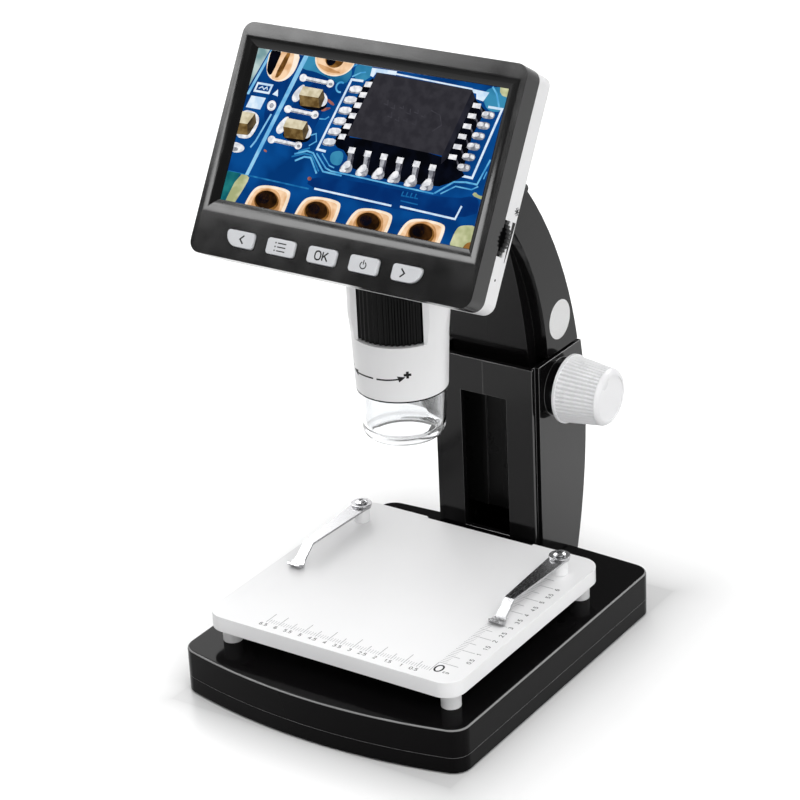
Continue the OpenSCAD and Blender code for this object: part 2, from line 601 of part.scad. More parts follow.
module display_shell() color("#eeeeee") on_display() difference() {
    union() {
        difference() {
            head_plate(0.3, shell_n, bezel_n[0] - part_gap, 4);
            translate([0, 0, shell_n + shell_back]) linear_extrude(10)
                polygon(round_rect(shell_wall - half_h, half_h - shell_wall, head_u[0] + shell_wall, head_u[1] - shell_wall, 2.5));
        }
        for (p = screw_xu) translate([p[0], p[1], shell_n]) cylinder(r = 3.2, h = bezel_n[0] - part_gap - shell_n);
    }
    for (p = screw_xu) translate([p[0], p[1], shell_n - 1]) {
        cylinder(r = 1.2, h = 12);
        cylinder(r = 2.4, h = 5);
    }
    // cable passage into the barrel
    translate([0, -8, shell_n - 1]) cylinder(r = cable_r, h = 4);
    // pocket that lets the dimmer wheel out through the side wall
    translate([dimmer_x, dimmer_u, dimmer_n - 0.4]) cylinder(r = dimmer_r + 0.4, h = 5);
    // sockets on the left side
    translate([-half_h - 1, -4.1, -9.55]) cube([5, 8.2, 4]);
    translate([-half_h - 1, 9.7, -8.9]) cube([5, 13, 4]);
}
module shell_screws() color("#9a9c9e") on_display() for (p = screw_xu)
    screw_up(p[0], p[1], shell_n + 4, 2.1, 1.3, 1.0, 8.4);
// soldered to the back of the main board
port_x = shell_wall + 0.1 - half_h;
cable_r = 5;
module usb_port() color("#c4c6c8") on_display() translate([port_x, -3.8, board_n - 3.15]) difference() {
    cube([6.6, 7.6, 3.15]);
    translate([-1, 0.5, 0.45]) cube([5.6, 6.6, 2.1]);
}
card_d = 14;
module card_slot() color("#c4c6c8") on_display() translate([port_x, 9.9, board_n - 2.5]) difference() {
    cube([card_d, 12.6, 2.5]);
    translate([-1, 0.6, 0.5]) cube([card_d - 1, 11.4, 1.3]);
}
module rear_bumper() color("#151515") on_display() translate([half_h - 2.6, -2, shell_n - 3.4]) cylinder(r = 1.7, h = 3.4);

dimmer_r = 8;
dimmer_x = half_h - 6.6;
dimmer_u = 6 - sh;
dimmer_n = shell_n + 4;
module dimmer_wheel() color("#141414") on_display() translate([dimmer_x, dimmer_u, dimmer_n]) difference() {
    linear_extrude(3) polygon(ribbed(dimmer_r, 0.4, 36));
    translate([0, 0, -1]) cylinder(r = 1.2, h = 5);
}
module dimmer_pot() color("#2c2c30") on_display() translate([dimmer_x, dimmer_u, shell_n + shell_back]) {
    cylinder(r = 4.2, h = 1.8);
    translate([0, 0, 1.8 - eps]) cylinder(r = 1.2 - run_gap, h = 3.2);
}

// ---- push-buttons ----
module button_cap(i) color("#dcdee0") on_display() translate([button_x[i], button_u, 0]) {
    translate([0, 0, -0.5]) linear_extrude(3.2) polygon(key_outline(i, 0));
    translate([-button_l / 2 - 0.8, -button_w / 2 - 0.6, -1.3]) cube([button_l + 1.6, button_w + 1.2, 0.85]);
}
module button_left() button_cap(0);
module button_menu() button_cap(1);
module button_ok() button_cap(2);
module button_power() button_cap(3);
module button_right() button_cap(4);

// ---- barrel ----
foot_z = 103;
shoulder_z = 130;
ring_z = [123.2, 150.6];
ring_turn = 18;             // the window faces slightly to the right
cap_bore = 14;
ring_bore = ring_r + slide_gap;
module at_barrel(z) translate([0, barrel_y, z]) children();

// window with sloping edges
module ring_window(z0, z1) at_barrel(z0) rotate(-90 + ring_turn) linear_extrude(z1 - z0)
    polygon([for (p = [[9, -40], [ring_bore, -45.5], [28, -71], [60, 0], [28, 71], [ring_bore, 45.5], [9, 40]]) p[0] * [cos(p[1]), sin(p[1])]]);

// Lathe profile: outside from the foot to the shoulder and up, then the bores
module barrel() color("#f0f0f0") difference() {
    at_barrel(0) rotate_extrude($fn = 96) polygon([
        [cap_bore, foot_z], [barrel_foot_r - 0.4, foot_z], [barrel_foot_r, foot_z + 0.6],
        [barrel_foot_r + 0.55 * (barrel_r - barrel_foot_r), foot_z + 0.73 * (shoulder_z - foot_z)],
        [barrel_r, shoulder_z], [barrel_r, barrel_top], [ring_bore, barrel_top], [ring_bore, ring_z[0] - slide_gap],
        [11, ring_z[0] - slide_gap], [11, foot_z + 9.6], [cap_bore, foot_z + 9.6]]);
    ring_window(ring_z[0] - slide_gap, ring_z[1] + slide_gap);
    behind_display();
}
// Ring that keeps the focusing ring down
module ring_retainer() color("#2a2a2c") at_barrel(ring_z[1] + slide_gap) difference() {
    cylinder(r = ring_bore, h = 2.4, $fn = 72);
    translate([0, 0, -1]) cylinder(r = 11, h = 5, $fn = 48);
}
module sensor_board() color("#1f6b3a") at_barrel(ring_z[1] + slide_gap + 2.4) {
    translate([-10.5, -10.5, 0]) cube([21, 21, 1.4]);
    translate([-4.5, -4.5, -1.2]) cube([9, 9, 1.2 + eps]);
}
module led_board() color("#e8e8e4") at_barrel(foot_z + 4.6) difference() {
    cylinder(r = cap_bore, h = 1.2, $fn = 64);
    translate([0, 0, -1]) cylinder(r = 7.6, h = 4);
}
module leds() color("#fff8d8") at_barrel(foot_z + 2.9) for (i = [0:7]) rotate(22.5 + 45 * i)
    translate([10.8, 0, 0]) cylinder(r = 1.5, h = 1.7, $fn = 20);

// Clear cap: a short cone with a rounded lower edge and an inner rim
cap_z = 86.2;
cap_hole_r = 10.9;
module clear_cap() color("#dfe6ea", 0.45) at_barrel(0) rotate_extrude($fn = 72) polygon([
    [barrel_foot_r - 0.35, foot_z - part_gap], [cap_r + 0.1, cap_z + 2.8], [cap_r - 0.1, cap_z + 1.7], [cap_r - 0.6, cap_z + 0.8],
    [cap_r - 1.2, cap_z + 0.25], [cap_r - 2, cap_z], [cap_hole_r, cap_z], [cap_hole_r, cap_z + 2.4], [cap_hole_r + 0.6, cap_z + 2.9],
    [cap_r - 1.6, cap_z + 3.4], [cap_r - 1.3, cap_z + 4.4], [barrel_foot_r - 3.1, foot_z + 2.6],
    [cap_bore - run_gap, foot_z + 2.6], [cap_bore - run_gap, foot_z - part_gap]]);

module focus_ring() color("#141414") at_barrel(ring_z[0]) difference() {
    linear_extrude(ring_z[1] - ring_z[0]) polygon(ribbed(ring_r, 0.55, ring_ribs));
    translate([0, 0, -1]) cylinder(r = 10 + run_gap, h = 40, $fn = 64);
}
module lens_cell() color("#101010") at_barrel(113.2) difference() {
    cylinder(r = 10, h = 30, $fn = 64);
    translate([0, 0, -1]) cylinder(r = 6, h = 40);
    translate([0, 0, -1]) cylinder(r = 8, h = 5.6);
}
module lens_glass() color("#9fb4d8", 0.5) at_barrel(114) cylinder(r = 7.95, h = 3.7);

base_cover();
base_pan();
ballast_plate();
base_feet();
base_screws();
stage_plate();
stage_screws();
clip_posts();
clip_screws();
column_left();
column_right();
column_screws();
column_foot_screws();
axle_bushing_left();
axle_bushing_right();
clip_blade_left();
clip_washer_left();
clip_blade_right();
clip_washer_right();
knob_right();
knob_left();
axle();
pinion();
arm_left();
arm_right();
arm_screws();
slide_plate();
slide_screws();
rack();
head_bracket();
display_bezel();
display_glass();
lcd_panel();
main_board();
battery();
button_board();
display_shell();
shell_screws();
usb_port();
card_slot();
rear_bumper();
barrel();
ring_retainer();
sensor_board();
led_board();
leds();
clear_cap();
dimmer_pot();
focus_ring();
lens_cell();
lens_glass();
dimmer_wheel();
button_left();
button_menu();
button_ok();
button_power();
button_right();
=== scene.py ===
"""Looks of the digital microscope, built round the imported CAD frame.

Sizes are written in millimetres and scaled by MM, except where a comment names another unit.
"""

import json
import math

import bmesh
import bpy
from mathutils import Matrix, Vector


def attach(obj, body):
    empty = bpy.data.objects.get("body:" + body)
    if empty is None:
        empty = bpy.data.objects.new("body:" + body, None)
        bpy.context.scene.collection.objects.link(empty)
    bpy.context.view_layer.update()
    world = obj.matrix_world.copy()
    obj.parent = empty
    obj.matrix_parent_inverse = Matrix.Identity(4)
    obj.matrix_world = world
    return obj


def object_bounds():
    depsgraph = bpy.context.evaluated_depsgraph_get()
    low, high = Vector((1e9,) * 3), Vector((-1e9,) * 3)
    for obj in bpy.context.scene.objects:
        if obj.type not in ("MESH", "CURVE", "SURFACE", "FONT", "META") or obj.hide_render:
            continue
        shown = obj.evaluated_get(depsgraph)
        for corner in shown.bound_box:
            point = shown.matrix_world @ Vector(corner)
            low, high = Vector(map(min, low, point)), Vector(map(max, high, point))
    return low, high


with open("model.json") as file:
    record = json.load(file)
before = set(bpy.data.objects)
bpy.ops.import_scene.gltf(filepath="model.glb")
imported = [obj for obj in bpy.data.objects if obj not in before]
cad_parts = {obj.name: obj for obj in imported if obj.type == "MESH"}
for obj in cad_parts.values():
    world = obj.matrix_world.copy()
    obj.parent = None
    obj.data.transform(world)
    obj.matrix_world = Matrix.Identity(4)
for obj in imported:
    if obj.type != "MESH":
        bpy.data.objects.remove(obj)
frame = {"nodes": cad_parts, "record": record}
cad_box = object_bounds()

MM = 0.001
NODES = frame["nodes"]

# ---- camera
CAMERA_AZIMUTH = math.radians(34.705)
CAMERA_ELEVATION = math.radians(24.666)
CAMERA_ROLL = math.radians(-2.724)
CAMERA_PLACE = Vector((465.78, -683.69, 473.72)) * MM
FOCAL_PIXELS = 2721.0
FRAME_PIXELS = 800.0
SENSOR = 36.0
NEAR_LIMIT, FAR_LIMIT = 0.05, 20.0  # metres


def new_object(name, data):
    made = bpy.data.objects.new(name, data)
    bpy.context.scene.collection.objects.link(made)
    return made


def make_camera():
    data = bpy.data.cameras.new("camera")
    data.sensor_fit = "HORIZONTAL"
    data.sensor_width = SENSOR
    data.lens = FOCAL_PIXELS / FRAME_PIXELS * SENSOR
    data.clip_start = NEAR_LIMIT
    data.clip_end = FAR_LIMIT
    camera = new_object("camera", data)
    a, e = CAMERA_AZIMUTH, CAMERA_ELEVATION
    back = Vector((math.sin(a) * math.cos(e), -math.cos(a) * math.cos(e), math.sin(e)))
    level = Vector((math.cos(a), math.sin(a), 0.0))
    upright = back.cross(level)
    right = level * math.cos(CAMERA_ROLL) + upright * math.sin(CAMERA_ROLL)
    up = back.cross(right)
    turn = Matrix((right, up, back)).transposed()
    camera.matrix_world = Matrix.Translation(CAMERA_PLACE) @ turn.to_4x4()
    bpy.context.scene.camera = camera


make_camera()


# ---- materials
# Noise scales, in features per metre
TONE_PATCHES = 35.0
GLOSS_SMEARS = 120.0
CLEAR_HAZE = 260.0
GRINDING_MARKS = 1500.0
INK_MOTTLE = 2500.0
GRINDING_DEPTH = 0.000006  # metres


def node_of(tree, kind, **settings):
    made = tree.nodes.new(kind)
    for key, value in settings.items():
        setattr(made, key, value)
    return made


def blank_material(name):
    material = bpy.data.materials.new(name)
    material.use_nodes = True
    tree = material.node_tree
    shader = tree.nodes["Principled BSDF"]
    return material, tree, shader


def math_node(tree, operation, *values):
    made = node_of(tree, "ShaderNodeMath", operation=operation)
    for socket, value in zip(made.inputs, values):
        if isinstance(value, (int, float)):
            socket.default_value = value
        else:
            tree.links.new(value, socket)
    return made.outputs["Value"]


def soft_step(tree, value, start, stop, low=0.0, high=1.0):
    made = node_of(tree, "ShaderNodeMapRange", interpolation_type="SMOOTHSTEP")
    if start > stop:
        start, stop, low, high = stop, start, high, low
    for socket, number in (("From Min", start), ("From Max", stop), ("To Min", low), ("To Max", high)):
        made.inputs[socket].default_value = number
    tree.links.new(value, made.inputs["Value"])
    return made.outputs["Result"]


def split_coordinates(tree, kind):
    """X, Y and Z of one of Blender's texture coordinates."""
    place = node_of(tree, "ShaderNodeTexCoord")
    split = node_of(tree, "ShaderNodeSeparateXYZ")
    tree.links.new(place.outputs[kind], split.inputs["Vector"])
    return split.outputs


def add_noise(tree, scale, detail, stretch=(1, 1, 1)):
    """Noise in the object's own metres; scale is in features per metre."""
    place = node_of(tree, "ShaderNodeTexCoord")
    mapping = node_of(tree, "ShaderNodeMapping")
    mapping.inputs["Scale"].default_value = stretch
    noise = node_of(tree, "ShaderNodeTexNoise")
    noise.inputs["Scale"].default_value = scale
    noise.inputs["Detail"].default_value = detail
    tree.links.new(place.outputs["Object"], mapping.inputs["Vector"])
    tree.links.new(mapping.outputs["Vector"], noise.inputs["Vector"])
    return noise


def vary(tree, noise, socket, low, high, at=(0.3, 0.7)):
    """Drives a socket between two values, or two colours, with the noise."""
    ramp = node_of(tree, "ShaderNodeValToRGB")
    ramp.color_ramp.elements[0].position = at[0]
    ramp.color_ramp.elements[1].position = at[1]
    for element, value in zip(ramp.color_ramp.elements, (low, high)):
        element.color = (*value, 1.0) if isinstance(value, (tuple, list)) else (value, value, value, 1.0)
    tree.links.new(noise.outputs["Fac"], ramp.inputs["Fac"])
    tree.links.new(ramp.outputs["Color"], socket)


def add_bump(tree, shader, noise, strength, distance):
    bump = node_of(tree, "ShaderNodeBump")
    bump.inputs["Strength"].default_value = strength
    bump.inputs["Distance"].default_value = distance
    tree.links.new(noise.outputs["Fac"], bump.inputs["Height"])
    tree.links.new(bump.outputs["Normal"], shader.inputs["Normal"])


def plastic(name, colour, roughness, wear=0.04, grain=900.0, grain_depth=0.00001, tone=0.06, specular=0.5):
    """Moulded plastic: faint tone changes, uneven gloss and a fine surface grain, its depth in metres."""
    material, tree, shader = blank_material(name)
    shader.inputs["Specular IOR Level"].default_value = specular
    broad = add_noise(tree, TONE_PATCHES, 2.0)
    darker = tuple(c * (1.0 - tone) for c in colour)
    vary(tree, broad, shader.inputs["Base Color"], darker, colour)
    smears = add_noise(tree, GLOSS_SMEARS, 4.0)
    vary(tree, smears, shader.inputs["Roughness"], max(0.02, roughness - wear), roughness + wear)
    fine = add_noise(tree, grain, 2.0)
    add_bump(tree, shader, fine, 0.5, grain_depth)
    return material


def paint_rounding_highlight(material, tone):
    """Paints a pale grey highlight on the rounding between the level top and the upright sides of a black
    moulding.
    """
    tree = material.node_tree
    shader = tree.nodes["Principled BSDF"]
    inner = shader.inputs["Base Color"].links[0].from_socket
    upward = split_coordinates(tree, "Normal")["Z"]
    off_upright = soft_step(tree, upward, 0.30, 0.62)
    off_level = soft_step(tree, upward, 0.985, 0.86)
    # share of painted highlight, highest on the slant of the rounding
    highlight_mask = math_node(tree, "MULTIPLY", off_upright, off_level)
    mix = node_of(tree, "ShaderNodeMix", data_type="RGBA")
    tree.links.new(highlight_mask, mix.inputs["Factor"])
    tree.links.new(inner, mix.inputs["A"])
    mix.inputs["B"].default_value = (tone, tone, tone, 1.0)
    tree.links.new(mix.outputs["Result"], shader.inputs["Base Color"])


def metal(name, colour, roughness, stretch=(1, 1, 1)):
    """Metal with fine grinding marks along the axis that stretch leaves small."""
    material, tree, shader = blank_material(name)
    shader.inputs["Metallic"].default_value = 1.0
    marks = add_noise(tree, GRINDING_MARKS, 3.0, stretch)
    darker = tuple(c * 0.86 for c in colour)
    vary(tree, marks, shader.inputs["Base Color"], darker, colour)
    vary(tree, marks, shader.inputs["Roughness"], roughness * 0.7, roughness * 1.35)
    add_bump(tree, shader, marks, 0.4, GRINDING_DEPTH)
    return material


def clear(name, colour, roughness, refraction):
    """See-through glass or plastic with a trace of haze."""
    material, tree, shader = blank_material(name)
    shader.inputs["Base Color"].default_value = (*colour, 1.0)
    shader.inputs["Transmission Weight"].default_value = 1.0
    shader.inputs["IOR"].default_value = refraction
    haze = add_noise(tree, CLEAR_HAZE, 3.0)
    vary(tree, haze, shader.inputs["Roughness"], roughness, roughness + 0.01)
    return material


def ink(name, colour, roughness=0.45):
    """Printed ink, slightly uneven."""
    material, tree, shader = blank_material(name)
    mottle = add_noise(tree, INK_MOTTLE, 2.0)
    lighter = tuple(min(1.0, c * 1.15 + 0.002) for c in colour)
    vary(tree, mottle, shader.inputs["Base Color"], colour, lighter)
    shader.inputs["Roughness"].default_value = roughness
    shader.inputs["Specular IOR Level"].default_value = 0.15
    return material


GLOSSY_GRAIN = {"wear": 0.03, "grain": 260.0, "grain_depth": 0.000012}
GLOSS_BLACK = plastic("gloss_black", (0.0030, 0.0028, 0.0030), 0.12, specular=0.15, **GLOSSY_GRAIN)
SATIN_BLACK = plastic("satin_black", (0.004, 0.004, 0.0042), 0.30, specular=0.17)
BEZEL_BLACK = plastic(
    "bezel_black", (0.0035, 0.0034, 0.0035), 0.17, grain=2600.0, grain_depth=0.000008, specular=0.30)
WHEEL_BLACK = plastic("wheel_black", (0.003, 0.003, 0.0031), 0.22, specular=0.08)
BASE_BLACK = plastic("base_black", (0.0030, 0.0028, 0.0030), 0.10, specular=0.05, **GLOSSY_GRAIN)
# painted highlight: a pale grey line along the base's rounded top edges
paint_rounding_highlight(BASE_BLACK, 0.24)
COLUMN_BLACK = plastic("column_black", (0.0034, 0.0032, 0.0034), 0.14, specular=0.25, **GLOSSY_GRAIN)
RIB_BLACK = plastic("rib_black", (0.004, 0.004, 0.004), 0.30, specular=0.08)
EDGE_POLISH = plastic("polished_edge", (0.012, 0.012, 0.012), 0.18, specular=0.9)
RUBBER = plastic("rubber", (0.02, 0.02, 0.02), 0.75, grain=1800.0, grain_depth=0.00003)
WHITE = plastic("white_plastic", (0.82, 0.82, 0.825), 0.32, tone=0.02, grain=1200.0)
# darker copy of the white plastic for the display shell: painted shade that keeps its lamp-lit side below
# white
SHELL_SHADED_WHITE = plastic("shell_white_shaded", (0.70, 0.70, 0.705), 0.32, tone=0.02, grain=1200.0)
STAGE_WHITE = plastic("stage_white", (0.85, 0.85, 0.855), 0.42, tone=0.015, grain=1500.0)
KNOB_WHITE = plastic("knob_white", (0.77, 0.77, 0.78), 0.30, tone=0.02)
BUTTON_SILVER = plastic("button_silver", (0.60, 0.61, 0.63), 0.30, tone=0.05, specular=0.15)
STEEL = metal("bright_steel", (0.46, 0.46, 0.47), 0.24, stretch=(6, 0.5, 1))
ZINC = metal("screw_steel", (0.62, 0.62, 0.63), 0.28)
BRASS = metal("brass", (0.78, 0.60, 0.30), 0.30)
IRON = metal("iron", (0.30, 0.30, 0.31), 0.55)
ANODISED = metal("lens_metal", (0.05, 0.05, 0.055), 0.35)
CLEAR_CAP = clear("clear_plastic", (0.86, 0.87, 0.88), 0.004, 1.5)
LENS = clear("lens_glass", (0.90, 0.93, 1.0), 0.01, 1.52)
BOARD = plastic("circuit_board", (0.02, 0.16, 0.06), 0.35)
FOIL = metal("battery_foil", (0.66, 0.67, 0.68), 0.32)
LED_WHITE = plastic("led_white", (0.82, 0.80, 0.70), 0.3)
SCREEN_BLACK = plastic("screen_black", (0.006, 0.006, 0.008), 0.08)
INK_BLACK = ink("ink_black", (0.005, 0.005, 0.005))
INK_GREY = ink("ink_grey", (0.22, 0.22, 0.23))
PAPER_WHITE = ink("label_white", (0.63, 0.63, 0.63), 0.5)

FINISH = {
    "gloss_black": GLOSS_BLACK, "satin_black": SATIN_BLACK, "bezel_black": BEZEL_BLACK,
    "wheel_black": WHEEL_BLACK, "white_plastic": WHITE, "knob_plastic": KNOB_WHITE,
    "button_silver": BUTTON_SILVER, "clear_plastic": CLEAR_CAP, "screen_glass": SCREEN_BLACK,
    "screen": SCREEN_BLACK, "lens_glass": LENS, "lens_metal": ANODISED, "bright_steel": STEEL,
    "screw_steel": ZINC, "brass": BRASS, "iron": IRON, "rubber": RUBBER, "circuit_board": BOARD,
    "battery_foil": FOIL, "led_white": LED_WHITE,
}
OWN_FINISH = {
    "stage_plate": STAGE_WHITE, "clip_posts": STAGE_WHITE, "base_cover": BASE_BLACK, "base_pan": BASE_BLACK,
    "column_left": COLUMN_BLACK, "column_right": COLUMN_BLACK, "slide_plate": RIB_BLACK,
    "display_shell": SHELL_SHADED_WHITE,
}

# Width of the edge rounding of the CAD nodes
EDGE = {
    "base_cover": 0.12, "base_pan": 0.2, "stage_plate": 0.7, "column_left": 0.5, "column_right": 0.5,
    "arm_left": 0.45, "arm_right": 0.45, "display_bezel": 0.5, "display_shell": 0.9, "barrel": 0.35,
    "knob_left": 0.35, "knob_right": 0.35, "clip_blade_left": 0.12, "clip_blade_right": 0.12,
    "clip_washer_left": 0.15, "clip_washer_right": 0.15, "clip_screws": 0.12, "clip_posts": 0.3,
    "button_left": 0.3, "button_menu": 0.3, "button_ok": 0.3, "button_power": 0.3, "button_right": 0.3,
    "dimmer_wheel": 0.15, "focus_ring": 0.12, "head_bracket": 0.6, "rear_bumper": 0.4, "slide_plate": 0.35,
}
# Black nodes whose rounded edges gleam
POLISHED = {"column_left", "column_right", "arm_left", "arm_right", "slide_plate"}
# Angles in degrees: sharper edges than these are rounded, flatter ones than FLAT_ANGLE are joined
EDGE_ANGLE = {"base_cover": 40, "knob_left": 40, "knob_right": 40}
USUAL_EDGE_ANGLE = 30
FLAT_ANGLE = 0.6
WELD_DISTANCE = 0.002


def finish_node(name, node):
    slot_name = next(s["material_slot"] for s in frame["record"]["subparts"] if s["node"] == name)
    node.data.materials.clear()
    node.data.materials.append(OWN_FINISH.get(name, FINISH[slot_name]))
    weld = node.modifiers.new("weld", "WELD")
    weld.merge_threshold = WELD_DISTANCE * MM
    if name in EDGE:
        flat = node.modifiers.new("flat", "DECIMATE")
        flat.decimate_type = "DISSOLVE"
        flat.angle_limit = math.radians(FLAT_ANGLE)
        edge = node.modifiers.new("edge", "BEVEL")
        edge.width = EDGE[name] * MM
        edge.segments = 3
        edge.limit_method = "ANGLE"
        edge.angle_limit = math.radians(EDGE_ANGLE.get(name, USUAL_EDGE_ANGLE))
        edge.use_clamp_overlap = True
        if name in POLISHED:
            node.data.materials.append(EDGE_POLISH)
            edge.material = 1
        node.modifiers.new("normals", "WEIGHTED_NORMAL")


for node_name, cad_node in NODES.items():
    finish_node(node_name, cad_node)


# ---- mesh helpers
# A surface is a function from a drawing's x and y, and the height above the surface, to a point in metres.
def flat_surface(origin, across, up, out):
    o, a, b, n = (Vector(v) for v in (origin, across, up, out))

    def at(x, y, h):
        return (o + a * x + b * y + n * h) * MM

    return at


class Piece:
    """Gathers closed prisms on a surface, between two heights, then makes one object of them."""

    def __init__(self, name, body, slot_name, material, surface, low, high):
        self.name, self.body, self.slot_name, self.material = name, body, slot_name, material
        self.surface, self.low, self.high = surface, low, high
        self.points, self.faces = [], []

    def plate(self, outline):
        """Flat prism over an outline without holes."""
        n, start = len(outline), len(self.points)
        area = sum(p[0] * q[1] - q[0] * p[1] for p, q in zip(outline, outline[1:] + outline[:1]))
        ring = outline if area > 0 else outline[::-1]
        for h in (self.low, self.high):
            self.points += [self.surface(x, y, h) for x, y in ring]
        self.faces.append([start + i for i in reversed(range(n))])
        self.faces.append([start + n + i for i in range(n)])
        for i in range(n):
            j = (i + 1) % n
            self.faces.append([start + i, start + j, start + n + j, start + n + i])

    def ribbon(self, line, width, closed=False, taper=1.0):
        """Stroke with mitred corners along a line; taper is its last width as a share of its first."""
        if self.surface is on_barrel and len(line) == 2:
            line = blend_points(line, BARREL_STEPS)
        n = len(line)
        sides = []
        for i, (x, y) in enumerate(line):
            steps = []
            if i or closed:
                before = line[i - 1]
                steps.append(Vector((x - before[0], y - before[1])).normalized())
            if i < n - 1 or closed:
                after = line[(i + 1) % n]
                steps.append(Vector((after[0] - x, after[1] - y)).normalized())
            along = sum(steps, Vector((0.0, 0.0)))
            along = along.normalized() if along.length > 1e-6 else steps[0]
            half = width / 2 * (1 + (taper - 1) * i / (n - 1))
            spread = 1.0 / max(0.5, along.dot(steps[0]))
            side = Vector((-along.y, along.x)) * half * spread
            sides.append(((x + side.x, y + side.y), (x - side.x, y - side.y)))
        start = len(self.points)
        for left, right in sides:
            for h in (self.low, self.high):
                self.points += [self.surface(*left, h), self.surface(*right, h)]
        for i in range(n if closed else n - 1):
            a, b = start + 4 * i, start + 4 * ((i + 1) % n)
            self.faces += [[a + 2, a + 3, b + 3, b + 2], [a, b, b + 1, a + 1]]
            self.faces += [[a, a + 2, b + 2, b], [a + 1, b + 1, b + 3, a + 3]]
        if not closed:
            a, b = start, start + 4 * (n - 1)
            self.faces += [[a, a + 1, a + 3, a + 2], [b, b + 2, b + 3, b + 1]]

    def oval(self, x, y, rx, ry=None, turn=0.0, count=28):
        self.plate(oval_points(x, y, rx, ry or rx, turn, count))

    def circle(self, x, y, r, width, count, start=0.0, end=360.0):
        """Round stroke, all the way or from one angle to another, in degrees."""
        closed = end - start >= 360.0
        steps = range(count if closed else count + 1)
        angles = [math.radians(start + (end - start) * i / count) for i in steps]
        self.ribbon([(x + r * math.cos(a), y + r * math.sin(a)) for a in angles], width, closed)

    def patch(self, outline, rounds=2):
        """Plate with its corners cut round, kept to the display's view."""
        self.plate(in_view(smooth(outline, rounds)))

    def view_oval(self, x, y, rx, ry, count):
        self.plate(in_view(oval_points(x, y, rx, ry, count=count)))

    def build(self):
        mesh = bpy.data.meshes.new(self.name)
        mesh.from_pydata(self.points, [], self.faces)
        mesh.validate()
        mesh.update()
        edit = bmesh.new()
        edit.from_mesh(mesh)
        bmesh.ops.recalc_face_normals(edit, faces=edit.faces)
        edit.to_mesh(mesh)
        edit.free()
        piece = new_object(self.name, mesh)
        mesh.materials.append(self.material)
        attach(piece, self.body)


def blend_points(line, count):
    """Divides a straight line into equal steps."""
    (x0, y0), (x1, y1) = line
    return [(x0 + (x1 - x0) * i / count, y0 + (y1 - y0) * i / count) for i in range(count + 1)]


def oval_points(x, y, rx, ry, turn=0.0, count=28):
    c, s = math.cos(math.radians(turn)), math.sin(math.radians(turn))
    ring = []
    for i in range(count):
        a = 2 * math.pi * i / count
        px, py = rx * math.cos(a), ry * math.sin(a)
        ring.append((x + px * c - py * s, y + px * s + py * c))
    return ring


def clip_below(ring, level):
    """Cuts an outline off below a level."""
    kept = []
    for (x0, y0), (x1, y1) in zip(ring, ring[1:] + ring[:1]):
        if y0 >= level:
            kept.append((x0, y0))
        if (y0 >= level) != (y1 >= level):
            t = (level - y0) / (y1 - y0)
            kept.append((x0 + (x1 - x0) * t, level))
    return kept


def clip_above(ring, level):
    return [(x, -y) for x, y in clip_below([(x, -y) for x, y in ring], -level)]


def smooth(ring, rounds):
    """Chaikin corner cutting of a closed outline."""
    for _ in range(rounds):
        cut = []
        for (x0, y0), (x1, y1) in zip(ring, ring[1:] + ring[:1]):
            cut.append((0.75 * x0 + 0.25 * x1, 0.75 * y0 + 0.25 * y1))
            cut.append((0.25 * x0 + 0.75 * x1, 0.25 * y0 + 0.75 * y1))
        ring = cut
    return ring


# ---- surfaces that carry prints
TILT = math.radians(30.4)
SCREEN_UP = (0.0, math.sin(TILT), math.cos(TILT))
SCREEN_OUT = (0.0, -math.cos(TILT), math.sin(TILT))
SCREEN_CENTRE = (0.0, -26.1, 191.7)
SHELL_SIDE_X, FLANK_X, STAGE_TOP = 53.2, 20.3, 28.6
SCREEN = flat_surface(SCREEN_CENTRE, (1, 0, 0), SCREEN_UP, SCREEN_OUT)
SHELL_SIDE = flat_surface((SHELL_SIDE_X, *SCREEN_CENTRE[1:]), SCREEN_OUT, SCREEN_UP, (1, 0, 0))
STAGE = flat_surface((0, 0, STAGE_TOP), (1, 0, 0), (0, 1, 0), (0, 0, 1))
FLANK = flat_surface((FLANK_X, 0, 0), (0, 1, 0), (0, 0, 1), (1, 0, 0))

# The barrel's lower cone, which carries prints
BARREL_Y = -9.3
BARREL_FOOT, CONE_TOP = 103.6, 122.71
FOOT_RADIUS, CONE_GROWTH = 15.4, 0.825
BARREL_STEPS = 8  # pieces of a straight stroke that bends round the barrel


def barrel_radius(z):
    return FOOT_RADIUS + (z - BARREL_FOOT) / (CONE_TOP - BARREL_FOOT) * CONE_GROWTH


def on_barrel(arc, z, h):
    """Surface of the barrel; arc is the way round it in millimetres, from its front line towards +x."""
    r = barrel_radius(z) + h
    a = arc / barrel_radius(z) - math.pi / 2
    return Vector((r * math.cos(a), BARREL_Y + r * math.sin(a), z)) * MM


